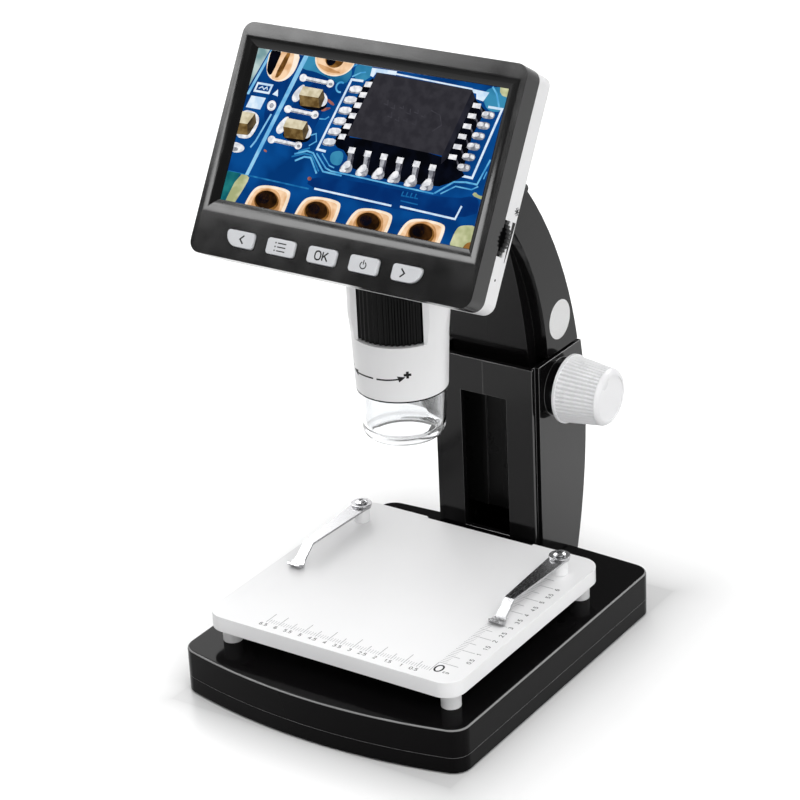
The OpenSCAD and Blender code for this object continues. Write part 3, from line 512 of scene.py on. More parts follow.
# ---- stroke lettering for the rulers and keys
CAPITAL = 1.4  # height of a figure in the units of its strokes
STROKES = {
    "0": [[(0.5, 0), (0.15, 0.1), (0, 0.4), (0, 1.0), (0.15, 1.3), (0.5, 1.4), (0.75, 1.3), (0.9, 1.0),
           (0.9, 0.4), (0.75, 0.1)]],
    "1": [[(0.15, 1.1), (0.5, 1.4), (0.5, 0)]],
    "2": [[(0.02, 1.1), (0.15, 1.32), (0.45, 1.4), (0.75, 1.3), (0.87, 1.03), (0.7, 0.7), (0, 0), (0.9, 0)]],
    "3": [[(0.02, 1.2), (0.3, 1.4), (0.7, 1.33), (0.83, 1.07), (0.68, 0.8), (0.4, 0.73), (0.72, 0.66),
           (0.88, 0.38), (0.7, 0.08), (0.3, 0), (0, 0.2)]],
    "4": [[(0.68, 0), (0.68, 1.4), (0, 0.4), (0.95, 0.4)]],
    "5": [[(0.82, 1.4), (0.12, 1.4), (0.06, 0.76), (0.4, 0.88), (0.75, 0.78), (0.88, 0.45), (0.72, 0.1),
           (0.35, 0), (0, 0.16)]],
    "6": [[(0.78, 1.28), (0.45, 1.4), (0.12, 1.1), (0, 0.5), (0.15, 0.1), (0.48, 0), (0.8, 0.14),
           (0.88, 0.45), (0.72, 0.76), (0.42, 0.84), (0.08, 0.6)]],
    ".": [[(0.15, 0), (0.15, 0.18)]],
    "c": [[(0.75, 0.78), (0.45, 0.93), (0.15, 0.8), (0.02, 0.47), (0.15, 0.12), (0.45, 0), (0.75, 0.14)]],
    "m": [[(0, 0), (0, 0.93)],
          [(0, 0.7), (0.25, 0.93), (0.5, 0.85), (0.56, 0.6), (0.56, 0)],
          [(0.56, 0.7), (0.82, 0.93), (1.05, 0.85), (1.12, 0.6), (1.12, 0)]],
    "O": [[(0.55, 0), (0.2, 0.1), (0.02, 0.42), (0.02, 0.98), (0.2, 1.3), (0.55, 1.4), (0.9, 1.3),
           (1.08, 0.98), (1.08, 0.42), (0.9, 0.1)]],
    "K": [[(0, 0), (0, 1.4)], [(0.92, 1.4), (0, 0.5)], [(0.3, 0.82), (0.98, 0)]],
}
CLOSED_LETTERS = "0O"
USUAL_ADVANCE, LETTER_GAP = 1.3, 0.4
ADVANCE = {"1": 0.95, ".": 0.55, "m": 1.5, "O": 1.45}


def letter(piece, text, x, y, height, width, turned=False):
    """Strokes a short text centred on x, y; turned text reads towards +y."""
    scale = height / CAPITAL
    advances = [ADVANCE.get(ch, USUAL_ADVANCE) for ch in text]
    cursor = (LETTER_GAP - sum(advances)) / 2
    for ch, advance in zip(text, advances):
        for stroke in STROKES[ch]:
            line = [((cursor + px) * scale, (py - CAPITAL / 2) * scale) for px, py in stroke]
            if turned:
                line = [(-py, px) for px, py in line]
            piece.ribbon([(x + px, y + py) for px, py in line], width, ch in CLOSED_LETTERS)
        cursor += advance


# ---- rulers on the stage plate
PRINT_ROOT = -0.05  # prints start inside the face that carries them
RULER_LENGTH = 65
FRONT_ZERO_X, FRONT_LINE_Y, FRONT_FIGURES_Y = 37.5, -56.1, -57.7
SIDE_ZERO_Y, SIDE_LINE_X, SIDE_FIGURES_X = -49.9, 37.5, 46.2
# Reach of the marks at centimetres, half centimetres and millimetres
FRONT_REACHES = (6.0, 3.9, 2.2)
SIDE_REACHES = (7.2, 4.6, 2.4)
BOLD_MARK, FINE_MARK = 0.2, 0.13
FIGURE_HEIGHT, FIGURE_STROKE = 1.5, 0.24
CORNER_ZERO, UNIT_PLACE = (39.6, -53.4), (43.0, -54.6)


def ruler_mark(mm, reaches, last=None):
    """Reach and width of the mark at a millimetre of a ruler."""
    if mm % 10 == 0 or mm == last:
        return reaches[0], BOLD_MARK
    if mm % 5 == 0:
        return reaches[1], BOLD_MARK
    return reaches[2], FINE_MARK


def ruler_figure(half_centimetres):
    whole = str(half_centimetres // 2)
    return whole if half_centimetres % 2 == 0 else whole + ".5"


def black_print(name, body, surface, low, high):
    return Piece(name, body, "satin_black", INK_BLACK, surface, low, high)


def make_rulers():
    marks = Piece("stage_ruler_marks", "stand", "satin_black", INK_GREY, STAGE, PRINT_ROOT, 0.012)
    figures = black_print("stage_ruler_figures", "stand", STAGE, PRINT_ROOT, 0.014)
    for mm in range(RULER_LENGTH + 1):
        x = FRONT_ZERO_X - mm
        reach, width = ruler_mark(mm, FRONT_REACHES, RULER_LENGTH)
        marks.ribbon([(x, FRONT_LINE_Y), (x, FRONT_LINE_Y + reach)], width)
    for mm in range(RULER_LENGTH + 1):
        y = SIDE_ZERO_Y + mm
        reach, width = ruler_mark(mm, SIDE_REACHES)
        marks.ribbon([(SIDE_LINE_X, y), (SIDE_LINE_X + reach, y)], width)
    for k in range(1, 14):
        x = FRONT_ZERO_X - 5 * k
        letter(figures, ruler_figure(k), x, FRONT_FIGURES_Y, FIGURE_HEIGHT, FIGURE_STROKE)
    for k in range(1, 13):
        y = SIDE_ZERO_Y + 5 * k
        letter(figures, ruler_figure(k), SIDE_FIGURES_X, y, FIGURE_HEIGHT, FIGURE_STROKE, turned=True)
    figures.ribbon(oval_points(*CORNER_ZERO, 1.35, 2.0, count=32), 0.62, closed=True)
    letter(figures, "cm", *UNIT_PLACE, 1.25, 0.2)
    marks.build()
    figures.build()


make_rulers()


# ---- prints on the barrel, shell and keys
BODY_PRINT_TOP = 0.015
# width, and steps round the barrel, of the black band of painted shade at the cap's joint
JOINT_SHADE_WIDTH, JOINT_SHADE_STEPS = 0.5, 96
SUN_SIGN, SUN_RAY_START, SUN_RAY_END = (-12.5, -9.9), 0.82, 1.35
# middle of the dot of painted shade that stands for the reset hole
RESET_HOLE_SHADE = (-9.6, -32.1)
LABEL_CENTRE, LABEL_RADII = (58.5, 104.8), (6.9, 7.1)
KEY_ROW = -36.6
KEY_CENTRES = {"left": -34.2, "menu": -18.35, "ok": -2.5, "power": 13.35, "right": 29.2}
KEY_PRINT_LOW, KEY_PRINT_HIGH = 2.64, 2.715
CHEVRON_BACK, CHEVRON_TIP, CHEVRON_HALF = 0.65, 0.75, 1.35


def make_focus_print():
    """Two curved arrow shafts with a minus and a plus sign, round the barrel."""
    arrow = black_print("focus_direction_print", "carriage", on_barrel, PRINT_ROOT, BODY_PRINT_TOP)

    def sweep(start, stop, low, high):
        return [(start + (stop - start) * t, low + (high - low) * t * t) for t in (i / 12 for i in range(13))]

    # shafts
    arrow.ribbon(sweep(-0.6, -8.6, 111.3, 110.95), 0.56)
    arrow.ribbon(sweep(0.7, 8.4, 111.3, 111.9), 0.56)
    # arrow heads
    arrow.ribbon([(-8.2, 111.0), (-11.8, 111.4)], 2.2, taper=0.02)
    arrow.ribbon([(8.2, 111.85), (10.6, 112.55)], 2.3, taper=0.02)
    # minus, then plus
    arrow.ribbon([(-14.2, 112.6), (-12.2, 112.2)], 0.6)
    arrow.ribbon([(10.1, 113.3), (12.6, 113.3)], 0.9)
    arrow.ribbon([(11.35, 112.05), (11.35, 114.55)], 0.9)
    arrow.build()


def make_cap_joint_shade():
    """Black band at the real joint between the barrel's rim and the clear cap, painted shade wider than the
    gap itself.
    """
    joint_shade = black_print("cap_joint_shade", "carriage", on_barrel, -0.38, -0.03)
    turn = 2 * math.pi * barrel_radius(BARREL_FOOT)
    z = BARREL_FOOT - JOINT_SHADE_WIDTH / 2
    joint_shade.ribbon([(turn * i / JOINT_SHADE_STEPS, z) for i in range(JOINT_SHADE_STEPS)], JOINT_SHADE_WIDTH, closed=True)
    joint_shade.build()


def make_shell_prints():
    """Round the dimmer wheel: a sun, a wedge for rising brightness, and a dot of painted shade where the
    reset hole is.
    """
    marks = black_print("side_markings", "carriage", SHELL_SIDE, PRINT_ROOT, BODY_PRINT_TOP)
    x, y = SUN_SIGN
    marks.oval(x, y, 0.7)
    for i in range(8):
        c, s = math.cos(math.radians(45 * i)), math.sin(math.radians(45 * i))
        marks.ribbon([(x + r * c, y + r * s) for r in (SUN_RAY_START, SUN_RAY_END)], 0.42)
    marks.plate([(-13.4, -13.4), (-11.5, -13.4), (-12.2, -26.2), (-12.5, -26.2)])
    # painted shade in place of the reset hole
    marks.oval(*RESET_HOLE_SHADE, 0.42)
    marks.build()


def key_symbol(key):
    return black_print("key_" + key + "_symbol", "key_" + key, SCREEN, KEY_PRINT_LOW, KEY_PRINT_HIGH)


def make_chevron(key, x, side):
    """Bare arrow head that points to the left, side -1, or to the right, side 1."""
    back, tip = x - CHEVRON_BACK * side, x + CHEVRON_TIP * side
    line = [(back, KEY_ROW + CHEVRON_HALF), (tip, KEY_ROW), (back, KEY_ROW - CHEVRON_HALF)]
    arrow = key_symbol(key)
    arrow.ribbon(line, 0.52)
    arrow.build()


def make_key_symbols():
    # both chevrons sit a little towards the display's middle
    make_chevron("left", KEY_CENTRES["left"] + 0.9, -1)
    make_chevron("right", KEY_CENTRES["right"] - 1.3, 1)
    menu, x = key_symbol("menu"), KEY_CENTRES["menu"]
    for y in (KEY_ROW + 1.25, KEY_ROW, KEY_ROW - 1.25):
        menu.ribbon([(x - 1.1, y), (x + 2.1, y)], 0.36)
        menu.oval(x - 1.9, y, 0.27, count=14)
    menu.build()
    ok = key_symbol("ok")
    letter(ok, "OK", KEY_CENTRES["ok"], KEY_ROW, 2.8, 0.5)
    ok.build()
    power, x = key_symbol("power"), KEY_CENTRES["power"]
    power.circle(x, KEY_ROW - 0.15, 1.08, 0.36, 26, 118, 422)
    power.ribbon([(x, KEY_ROW + 0.1), (x, KEY_ROW + 1.5)], 0.36)
    power.build()


def make_label():
    """Bare sticker disc on the arm's right flank."""
    disc = Piece("arm_label", "carriage", "white_plastic", PAPER_WHITE, FLANK, PRINT_ROOT, 0.06)
    disc.oval(*LABEL_CENTRE, *LABEL_RADII, count=64)
    disc.build()


make_focus_print()
make_cap_joint_shade()
make_shell_prints()
make_key_symbols()
make_label()


# ---- picture on the display: a circuit board, magnified
def srgb(*rgb):
    """Linear colour from red, green and blue of 0 to 255."""
    return tuple(((c / 255.0 + 0.055) / 1.055) ** 2.4 if c > 10 else c / 255.0 / 12.92 for c in rgb)


def lit(name, dark, light, scale):
    """Glowing screen colour that wanders between two tones, on a dark ground that mirrors nothing."""
    material, tree, shader = blank_material(name)
    shader.inputs["Base Color"].default_value = (0.001, 0.001, 0.001, 1.0)
    shader.inputs["Roughness"].default_value = 0.12
    shader.inputs["Specular IOR Level"].default_value = 0.0
    noise = add_noise(tree, scale, 2.0)
    vary(tree, noise, shader.inputs["Emission Color"], srgb(*dark), srgb(*light), at=(0.38, 0.62))
    shader.inputs["Emission Strength"].default_value = 1.0
    return material


LIT = {
    "board": lit("pcb_blue", (2, 54, 116), (6, 74, 144), 90.0),
    "board_deep": lit("pcb_navy", (2, 44, 106), (4, 58, 124), 120.0),
    "board_pale": lit("pcb_teal", (20, 96, 142), (58, 140, 178), 110.0),
    "chip": lit("chip_slate", (44, 43, 49), (53, 52, 58), 320.0),
    "chip_mark": lit("chip_mark", (56, 55, 62), (64, 63, 70), 600.0),
    "chip_side": lit("chip_side", (26, 27, 36), (40, 40, 50), 200.0),
    "shadow": lit("picture_shadow", (2, 3, 8), (6, 9, 22), 200.0),
    "lead_light": lit("lead_light", (208, 210, 216), (250, 250, 252), 700.0),
    "lead_mid": lit("lead_mid", (120, 122, 130), (176, 178, 184), 700.0),
    "lead_dark": lit("lead_dark", (52, 52, 62), (92, 92, 102), 700.0),
    "silk": lit("silk_white", (196, 222, 246), (228, 242, 254), 400.0),
    "trace": lit("trace_pale", (64, 150, 206), (110, 188, 228), 260.0),
    "trace_dim": lit("trace_dim", (20, 98, 160), (44, 130, 184), 260.0),
    "stripe": lit("stripe_pale", (104, 178, 226), (150, 208, 240), 200.0),
    "pad": lit("pad_gold", (226, 178, 132), (252, 216, 178), 260.0),
    "pad_edge": lit("pad_cream", (246, 222, 194), (254, 240, 222), 260.0),
    "pad_low": lit("pad_shade", (186, 134, 84), (222, 172, 122), 260.0),
    "hole": lit("hole_brown", (24, 12, 4), (58, 34, 12), 300.0),
    "hole_wall": lit("hole_wall", (96, 62, 24), (150, 104, 50), 300.0),
    "body_top": lit("body_top", (196, 184, 152), (226, 216, 188), 400.0),
    "body_front": lit("body_front", (92, 70, 36), (136, 112, 70), 400.0),
    "body_side": lit("body_side", (62, 50, 36), (96, 82, 60), 400.0),
    "olive": lit("patch_olive", (166, 172, 124), (208, 210, 168), 220.0),
    "teal": lit("patch_teal", (14, 92, 104), (34, 122, 122), 220.0),
    "rust": lit("speck_rust", (120, 70, 70), (168, 104, 90), 400.0),
    "glare": lit("corner_glare", (120, 156, 160), (188, 208, 206), 160.0),
}
LEFT, RIGHT, BOTTOM, TOP = -47.2, 47.2, -25.1, 25.1
GROUND_LOW, GROUND_HIGH = -0.098, -0.073
FIRST_LAYER, LAYER_STEP, LAYER_THICKNESS = -0.065, 0.007, 0.016


def screen_layer(name, tone, level):
    """Thin layer of the picture; the higher its level, the nearer to the eye."""
    high = FIRST_LAYER + LAYER_STEP * level
    return Piece("picture_" + name, "carriage", "screen", LIT[tone], SCREEN, high - LAYER_THICKNESS, high)


def shifted(points, dx, dy):
    return [(x + dx, y + dy) for x, y in points]


def in_view(ring):
    """Cuts an outline off at the display's edges."""
    ring = clip_above(clip_below(ring, BOTTOM), TOP)
    turned = [(y, x) for x, y in ring]
    turned = clip_above(clip_below(turned, LEFT), RIGHT)
    return [(y, x) for x, y in turned]


def make_ground():
    ground = Piece("picture_ground", "carriage", "screen", LIT["board"], SCREEN, GROUND_LOW, GROUND_HIGH)
    ground.plate([(LEFT, BOTTOM), (RIGHT, BOTTOM), (RIGHT, TOP), (LEFT, TOP)])
    ground.build()
    deep = screen_layer("deep_blue", "board_deep", 0)
    deep.patch([(-16, -11.2), (36, -11.6), (46.9, -8), (46.9, -17.6), (-16, -17.2)])
    deep.patch([(-37.5, 19.5), (-31.5, 20), (-36, 1), (-39.5, 4)])
    deep.patch([(-21, 20), (-14, 20.5), (-17, 8), (-20, -2), (-31, -2), (-30, 8)])
    deep.build()
    pale = screen_layer("pale_blue", "board_pale", 0)
    pale.patch([(-29, 26), (-13, 26), (-9, 22), (-12, 17), (-22, 20.6), (-30, 20.6)])
    pale.patch([(-9, 25.6), (-2, 25.6), (-3, 20.4), (-9, 20)], 1)
    pale.patch([(38, 24), (48, 26), (48, 18), (41, 17)])
    pale.patch([(-10.5, -3.6), (-5.4, -2.4), (-5.2, -7.6), (-9.6, -7.4)])
    pale.build()
    glare = screen_layer("corner_glare", "glare", 1)
    glare.patch([(-48, 26), (-42.3, 26), (-47.2, 12.5), (-48, 12.5)], 0)
    glare.build()


def make_traces():
    """Wide pale stripes, fine and dim traces, and rusty specks."""
    stripes = screen_layer("stripes", "stripe", 2)
    stripes.patch([(-28.9, 26), (-27.2, 26), (-38.9, -15.8), (-40.2, -15.8)], 0)
    stripes.patch([(-41.9, 26), (-40.9, 26), (-46.4, 9.8), (-47.4, 9.8)], 0)
    stripes.ribbon([(-36.0, 4.8), (-39.4, -4.6), (-40.8, -6.9)], 0.6)
    stripes.build()
    traces = screen_layer("traces", "trace", 2)
    for line, width in (
        ([(-23.6, -6.4), (-19.2, -4.7), (-16.7, -5.0), (-11.4, -10.2), (-4.2, -10.4)], 0.55),
        ([(-22.8, -8.5), (-19.6, -6.7), (-17.2, -6.6), (-13.6, -11.2)], 0.6),
        ([(-19.0, -3.0), (-16.6, -1.2), (-17.4, 1.2), (-19.6, 0.2)], 0.4),
        ([(-15.4, -4.9), (-10.6, -9.0), (-8.4, -9.6), (-3.0, -9.7), (30.2, -10.6)], 0.5),
        ([(-13.4, -4.6), (-9.6, -8.0), (-7.6, -8.4)], 0.4),
        ([(30.4, -10.4), (36.2, -5.9), (40.4, -5.3), (44.4, -5.4), (46.9, 2.8)], 0.55),
        ([(32.6, -10.2), (37.2, -7.1), (43.0, -7.2), (45.0, -5.9)], 0.42),
        ([(-14.6, 21.4), (-11.4, 23.6), (-8.6, 24.9)], 0.5),
        ([(-9.4, 20.9), (-6.6, 22.6), (-4.8, 23.0)], 0.45),
        ([(41.4, 24.9), (43.4, 23.0), (45.4, 19.0)], 0.6),
        ([(-17.6, 6.0), (-15.4, 6.2), (-14.2, 7.2)], 0.4),
        ([(46.7, -1.0), (46.2, -3.4)], 0.4),
    ):
        traces.ribbon(line, width)
    traces.circle(-12.7, 17.0, 1.6, 0.6, 18, 60, 290)
    traces.build()
    dim = screen_layer("dim_traces", "trace_dim", 1)
    for x in (19.4, 21.0, 22.6, 24.2):
        dim.ribbon([(x, -11.6), (x - 0.3, -13.0), (x + 0.9, -13.0)], 0.42)
    dim.ribbon([(19.2, -14.6), (25.6, -14.8)], 0.4)
    dim.ribbon([(-46.9, -15.7), (-15.0, -16.4)], 0.5)
    dim.ribbon([(-24.4, -7.4), (-20.0, -5.7), (-17.0, -5.8), (-13.0, -10.4)], 0.5)
    dim.ribbon([(-22.4, -5.4), (-18.4, -3.6)], 0.5)
    dim.build()
    rust = screen_layer("specks", "rust", 2)
    rust.oval(-15.7, -13.2, 0.75, 0.6)
    rust.oval(-34.8, -7.1, 0.7, 0.35, -20)
    rust.patch([(-17.2, 8.2), (-14.2, 9.9), (-15.0, 10.2), (-18.0, 9.2)], 1)
    rust.patch([(-16.8, 12.2), (-13.8, 10.7), (-13.2, 11.4), (-16.2, 12.9)], 1)
    rust.build()


def make_outlines():
    """White printed outlines and blocks."""
    silk = screen_layer("outlines", "silk", 3)
    for line, width in (
        ([(-4.9, 20.1), (-9.3, 20.0), (-15.6, -3.6), (-12.2, -3.8)], 0.75),
        ([(41.6, 18.6), (46.6, 18.6), (42.2, -3.7), (38.3, -3.6)], 0.75),
        ([(6.0, 24.0), (34.6, 23.2)], 0.5),
        ([(-13.0, -16.0), (16.4, -16.7)], 0.62),
        ([(19.6, -16.4), (39.8, -17.0), (41.0, -12.7)], 0.62),
        ([(-43.2, 12.3), (-42.0, 13.0), (-41.2, 12.2), (-40.2, 13.1), (-39.8, 12.2)], 0.35),
    ):
        silk.ribbon(line, width)
    silk.plate([(-2.9, 24.7), (6.4, 24.9), (6.4, 23.6), (-0.9, 23.5), (-1.7, 21.8), (-2.9, 22.2)])
    silk.plate([(34.2, 23.3), (40.8, 23.0), (39.4, 20.0), (36.8, 20.4), (36.4, 22.0), (34.6, 22.2)])
    silk.ribbon([(-44.0, 13.9), (-38.4, 13.9), (-39.0, 11.3), (-44.6, 11.3)], 0.7, closed=True)
    silk.plate([(-45.3, 9.6), (-39.6, 9.6), (-40.7, 5.6), (-46.4, 5.6)])
    silk.plate([(-37.5, 11.1), (-35.8, 13.0), (-35.2, 10.7)])
    silk.build()


TINNED_BARS = (
    ((-27.4, 18.0), (-16.9, 17.6)),
    ((-30.2, 7.3), (-19.7, 7.0)),
    ((-33.5, -3.2), (-23.0, -3.5)),
)


def make_bars():
    """Round-ended tinned bars, a solder land and a loose pad, each with its shade."""
    bars = screen_layer("tinned_bars", "lead_light", 3)
    for (x0, y0), (x1, y1) in TINNED_BARS:
        bars.ribbon([(x0, y0), (x1, y1)], 1.3)
        bars.oval(x0, y0, 1.45, 1.25, count=20)
        bars.oval(x1, y1, 1.45, 1.3, count=20)
    bars.patch([(-48, -5.9), (-44.2, -6.4), (-42.6, -7.6), (-44.0, -9.2), (-48, -9.6)])
    bars.circle(-36.7, 7.5, 1.25, 0.9, 20)
    bars.build()
    shade = screen_layer("tinned_bars_shade", "lead_mid", 4)
    for (x0, y0), (x1, y1) in TINNED_BARS:
        shade.ribbon([(x0 + 1.2, y0 - 0.42), (x1 - 1.0, y1 - 0.42)], 0.36)
        shade.oval(x1 + 0.3, y1 - 0.2, 0.7, 0.5, count=16)
    shade.oval(-36.7, 7.5, 0.7, count=16)
    shade.patch([(-48, -7.6), (-45.0, -7.8), (-45.6, -9.0), (-48, -9.4)], 1)
    shade.build()


def make_blocks():
    """Small ceramic blocks: shadow, tinned ends, lit top, shaded front and side."""
    ends = screen_layer("block_ends", "lead_light", 4)
    tops = screen_layer("block_tops", "body_top", 6)
    fronts = screen_layer("block_fronts", "body_front", 5)
    sides = screen_layer("block_sides", "body_side", 5)
    gloom = screen_layer("block_shadows", "shadow", 3)
    whole_block = (
        (gloom, [(-27.6, 11.0), (-25.6, 8.3), (-18.0, 8.3), (-15.6, 10.4), (-17.6, 13.0)], 2),
        (ends, [(-27.0, 16.0), (-29.2, 13.4), (-30.0, 11.0), (-28.6, 9.6), (-26.6, 10.8), (-25.8, 15.6)], 2),
        (ends, [(-19.0, 15.0), (-16.4, 13.2), (-16.2, 11.0), (-18.0, 9.6), (-19.8, 11.4)], 2),
        (tops, [(-26.6, 15.4), (-18.9, 15.3), (-19.9, 12.5), (-27.4, 12.4)], 0),
        (fronts, [(-27.4, 12.4), (-19.9, 12.5), (-18.6, 9.4), (-25.9, 9.1)], 0),
        (sides, [(-18.9, 15.3), (-17.5, 12.9), (-18.0, 9.8), (-18.6, 9.4), (-19.9, 12.5)], 0),
    )
    for place in ((0.0, 0.0), (-2.95, -10.9)):
        for layer, outline, rounds in whole_block:
            layer.patch(shifted(outline, *place), rounds)
    # the third block reaches past the left edge
    gloom.patch([(-47.1, -2.6), (-43.4, -4.4), (-40.6, -3.0), (-40.6, 0.6)], 1)
    ends.patch([(-48, 4.8), (-41.6, 4.6), (-39.6, 2.0), (-41.0, -3.2), (-43.2, -4.6), (-48, -4.4)])
    tops.patch([(-48, 4.1), (-42.2, 4.1), (-44.2, 0.3), (-48, 0.2)], 0)
    fronts.patch([(-48, 0.2), (-44.2, 0.3), (-43.0, -3.2), (-48, -3.5)], 0)
    sides.patch([(-42.2, 4.1), (-40.8, 1.2), (-42.4, -2.6), (-43.0, -3.2), (-44.2, 0.3)], 0)
    for layer in (gloom, ends, tops, fronts, sides):
        layer.build()


PAD_END, SHADE_END = -29, -27  # below the view
# Plated holes along the bottom: the pad's middle and top, then the hole's middle
BOTTOM_HOLES = (
    (-29.3, -17.7, -29.6, -22.7),
    (-9.8, -18.2, -10.0, -23.0),
    (9.8, -18.7, 9.8, -23.3),
    (29.2, -18.8, 29.4, -23.4),
)


def make_holes():
    """Plated hole at the top left, ring at the top and the row of plated holes at the bottom."""
    edge = screen_layer("pad_edges", "pad_edge", 3)
    gold = screen_layer("pads", "pad", 4)
    low = screen_layer("pad_shades", "pad_low", 5)
    wall = screen_layer("hole_walls", "hole_wall", 6)
    hole = screen_layer("holes", "hole", 7)
    dark = screen_layer("hole_shadow", "shadow", 7)
    edge.patch([(-42.4, 26.5), (-42.6, 19.4), (-40.6, 16.2), (-36.6, 15.2), (-33.2, 16.6), (-30.8, 20.2),
                (-30.6, 26.5)])
    gold.patch([(-38.0, 26.5), (-40.6, 16.4), (-36.4, 15.6), (-33.6, 17.4), (-32.6, 21.0), (-33.0, 26.5)])
    wall.patch([(-34.2, 26.0), (-35.4, 20.0), (-36.6, 16.8), (-38.6, 16.4), (-35.6, 26.0)], 1)
    dark.patch([(-37.6, 26.5), (-42.0, 26.5), (-42.2, 19.0), (-40.6, 16.9), (-39.4, 17.6)], 1)
    gold.view_oval(-17.3, 25.6, 7.1, 5.2, 40)
    edge.view_oval(-17.3, 25.7, 7.6, 5.7, 40)
    wall.view_oval(-17.4, 25.4, 3.5, 2.7, 32)
    dark.view_oval(-18.6, 25.3, 1.8, 2.1, 24)
    low.patch([(-23.8, 23.4), (-21.0, 21.4), (-17.0, 20.9), (-13.4, 21.5), (-16.6, 22.1), (-21.0, 23.0)])
    for x, top, hx, hy in BOTTOM_HOLES:
        edge.patch([(x - 9.2, PAD_END), (x - 7.0, top - 2.6), (x - 3.4, top), (x + 7.0, top),
                    (x + 8.4, top - 2.0), (x + 6.6, PAD_END)], 3)
        gold.patch([(x - 8.2, PAD_END), (x - 6.2, top - 3.0), (x - 3.0, top - 0.8), (x + 6.2, top - 0.8),
                    (x + 7.2, top - 2.4), (x + 5.2, PAD_END)], 3)
        low.patch([(hx - 5.6, SHADE_END), (hx - 5.2, hy + 1.0), (hx - 2.4, hy + 3.6), (hx + 2.2, hy + 4.2),
                   (hx + 5.4, hy + 2.0), (hx + 5.6, SHADE_END)], 3)
        wall.view_oval(hx, hy - 0.1, 4.7, 3.4, 36)
        hole.view_oval(hx - 0.2, hy + 0.25, 4.2, 2.9, 36)
        dark.view_oval(hx - 1.2, hy + 0.6, 2.2, 1.7, 28)
    for layer in (edge, gold, low, wall, hole, dark):
        layer.build()


def make_patches():
    """Bare olive, teal and brown patches at the picture's edges."""
    olive = screen_layer("patches", "olive", 3)
    olive.patch([(-42.6, -15.9), (-38.3, -15.9), (-38.6, -18.4), (-42.6, -28), (-46.0, -28)], 1)
    olive.patch([(39.8, -27), (40.8, -20.6), (42.2, -18.4), (49, -17.6), (49, -27)])
    olive.patch([(43.9, 26), (44.6, 22.9), (48, 22.2), (48, 26)], 1)
    olive.patch([(44.4, -7.6), (46.0, -8.6), (48, -8.4), (48, -9.8), (43.4, -8.9)], 1)
    olive.build()
    teal = screen_layer("teal_patch", "teal", 2)
    teal.patch([(-48, -15.7), (-42.0, -15.7), (-45.6, -26), (-48, -26)], 0)
    teal.build()
    brown = screen_layer("patch_rust", "hole_wall", 5)
    brown.patch([(44.4, -27), (45.4, -23.6), (48, -22.6), (48, -27)])
    brown.build()


CHIP_MARKS = (
    (4.6, 14.2), (7.4, 13.4), (10.6, 13.9), (13.4, 12.6), (16.2, 13.2), (19.0, 12.4),
    (7.0, 10.6), (10.0, 9.9), (13.0, 10.2), (16.4, 9.6),
)


def make_chip():
    """Shadow on the board, side face, top face and its faint marks, which spell nothing."""
    shadow = screen_layer("chip_shadow", "shadow", 5)
    shadow.patch([(-6.4, 2.4), (30.0, 1.8), (40.2, -2.6), (36.6, -5.6), (29.8, -8.9), (-1.2, -8.8),
                  (-4.6, -2.6), (-9.4, -1.8), (-8.8, 0.2)], 1)
    shadow.plate([(-1.6, 21.6), (-4.6, 18.8), (-10.4, -1.2), (-6.6, -1.0), (-4.6, 2.4), (-0.4, 20.0)])
    shadow.plate([(34.0, 23.0), (37.2, 19.8), (41.0, 17.4), (38.6, 9.0), (38.4, 0.0), (30.6, -2.4),
                  (29.8, 1.4)])
    shadow.build()
    side = screen_layer("chip_side", "chip_side", 6)
    side.plate([(34.6, 23.0), (36.4, 20.6), (31.6, 0.6), (30.2, -1.2), (29.8, 1.4)])
    side.build()
    top = screen_layer("chip_top", "chip", 7)
    top.plate([(-0.7, 23.5), (34.8, 22.9), (29.9, 1.4), (-5.8, 2.3)])
    top.build()
    marks = screen_layer("chip_marks", "chip_mark", 8)
    for k, (x, y) in enumerate(CHIP_MARKS):
        marks.ribbon([(x, y), (x + 1.5, y - 0.3), (x + 1.2, y + 1.4 - 0.4 * (k % 3))], 0.3)
    marks.ribbon([(22.0, 14.6), (25.6, 13.6), (27.0, 10.6), (24.2, 8.2)], 0.3)
    marks.build()


FRONT_LEGS = ((-2.8, -1.0), (3.3, -1.2), (9.4, -1.2), (15.4, -1.4), (21.6, -1.6), (27.6, -1.8))


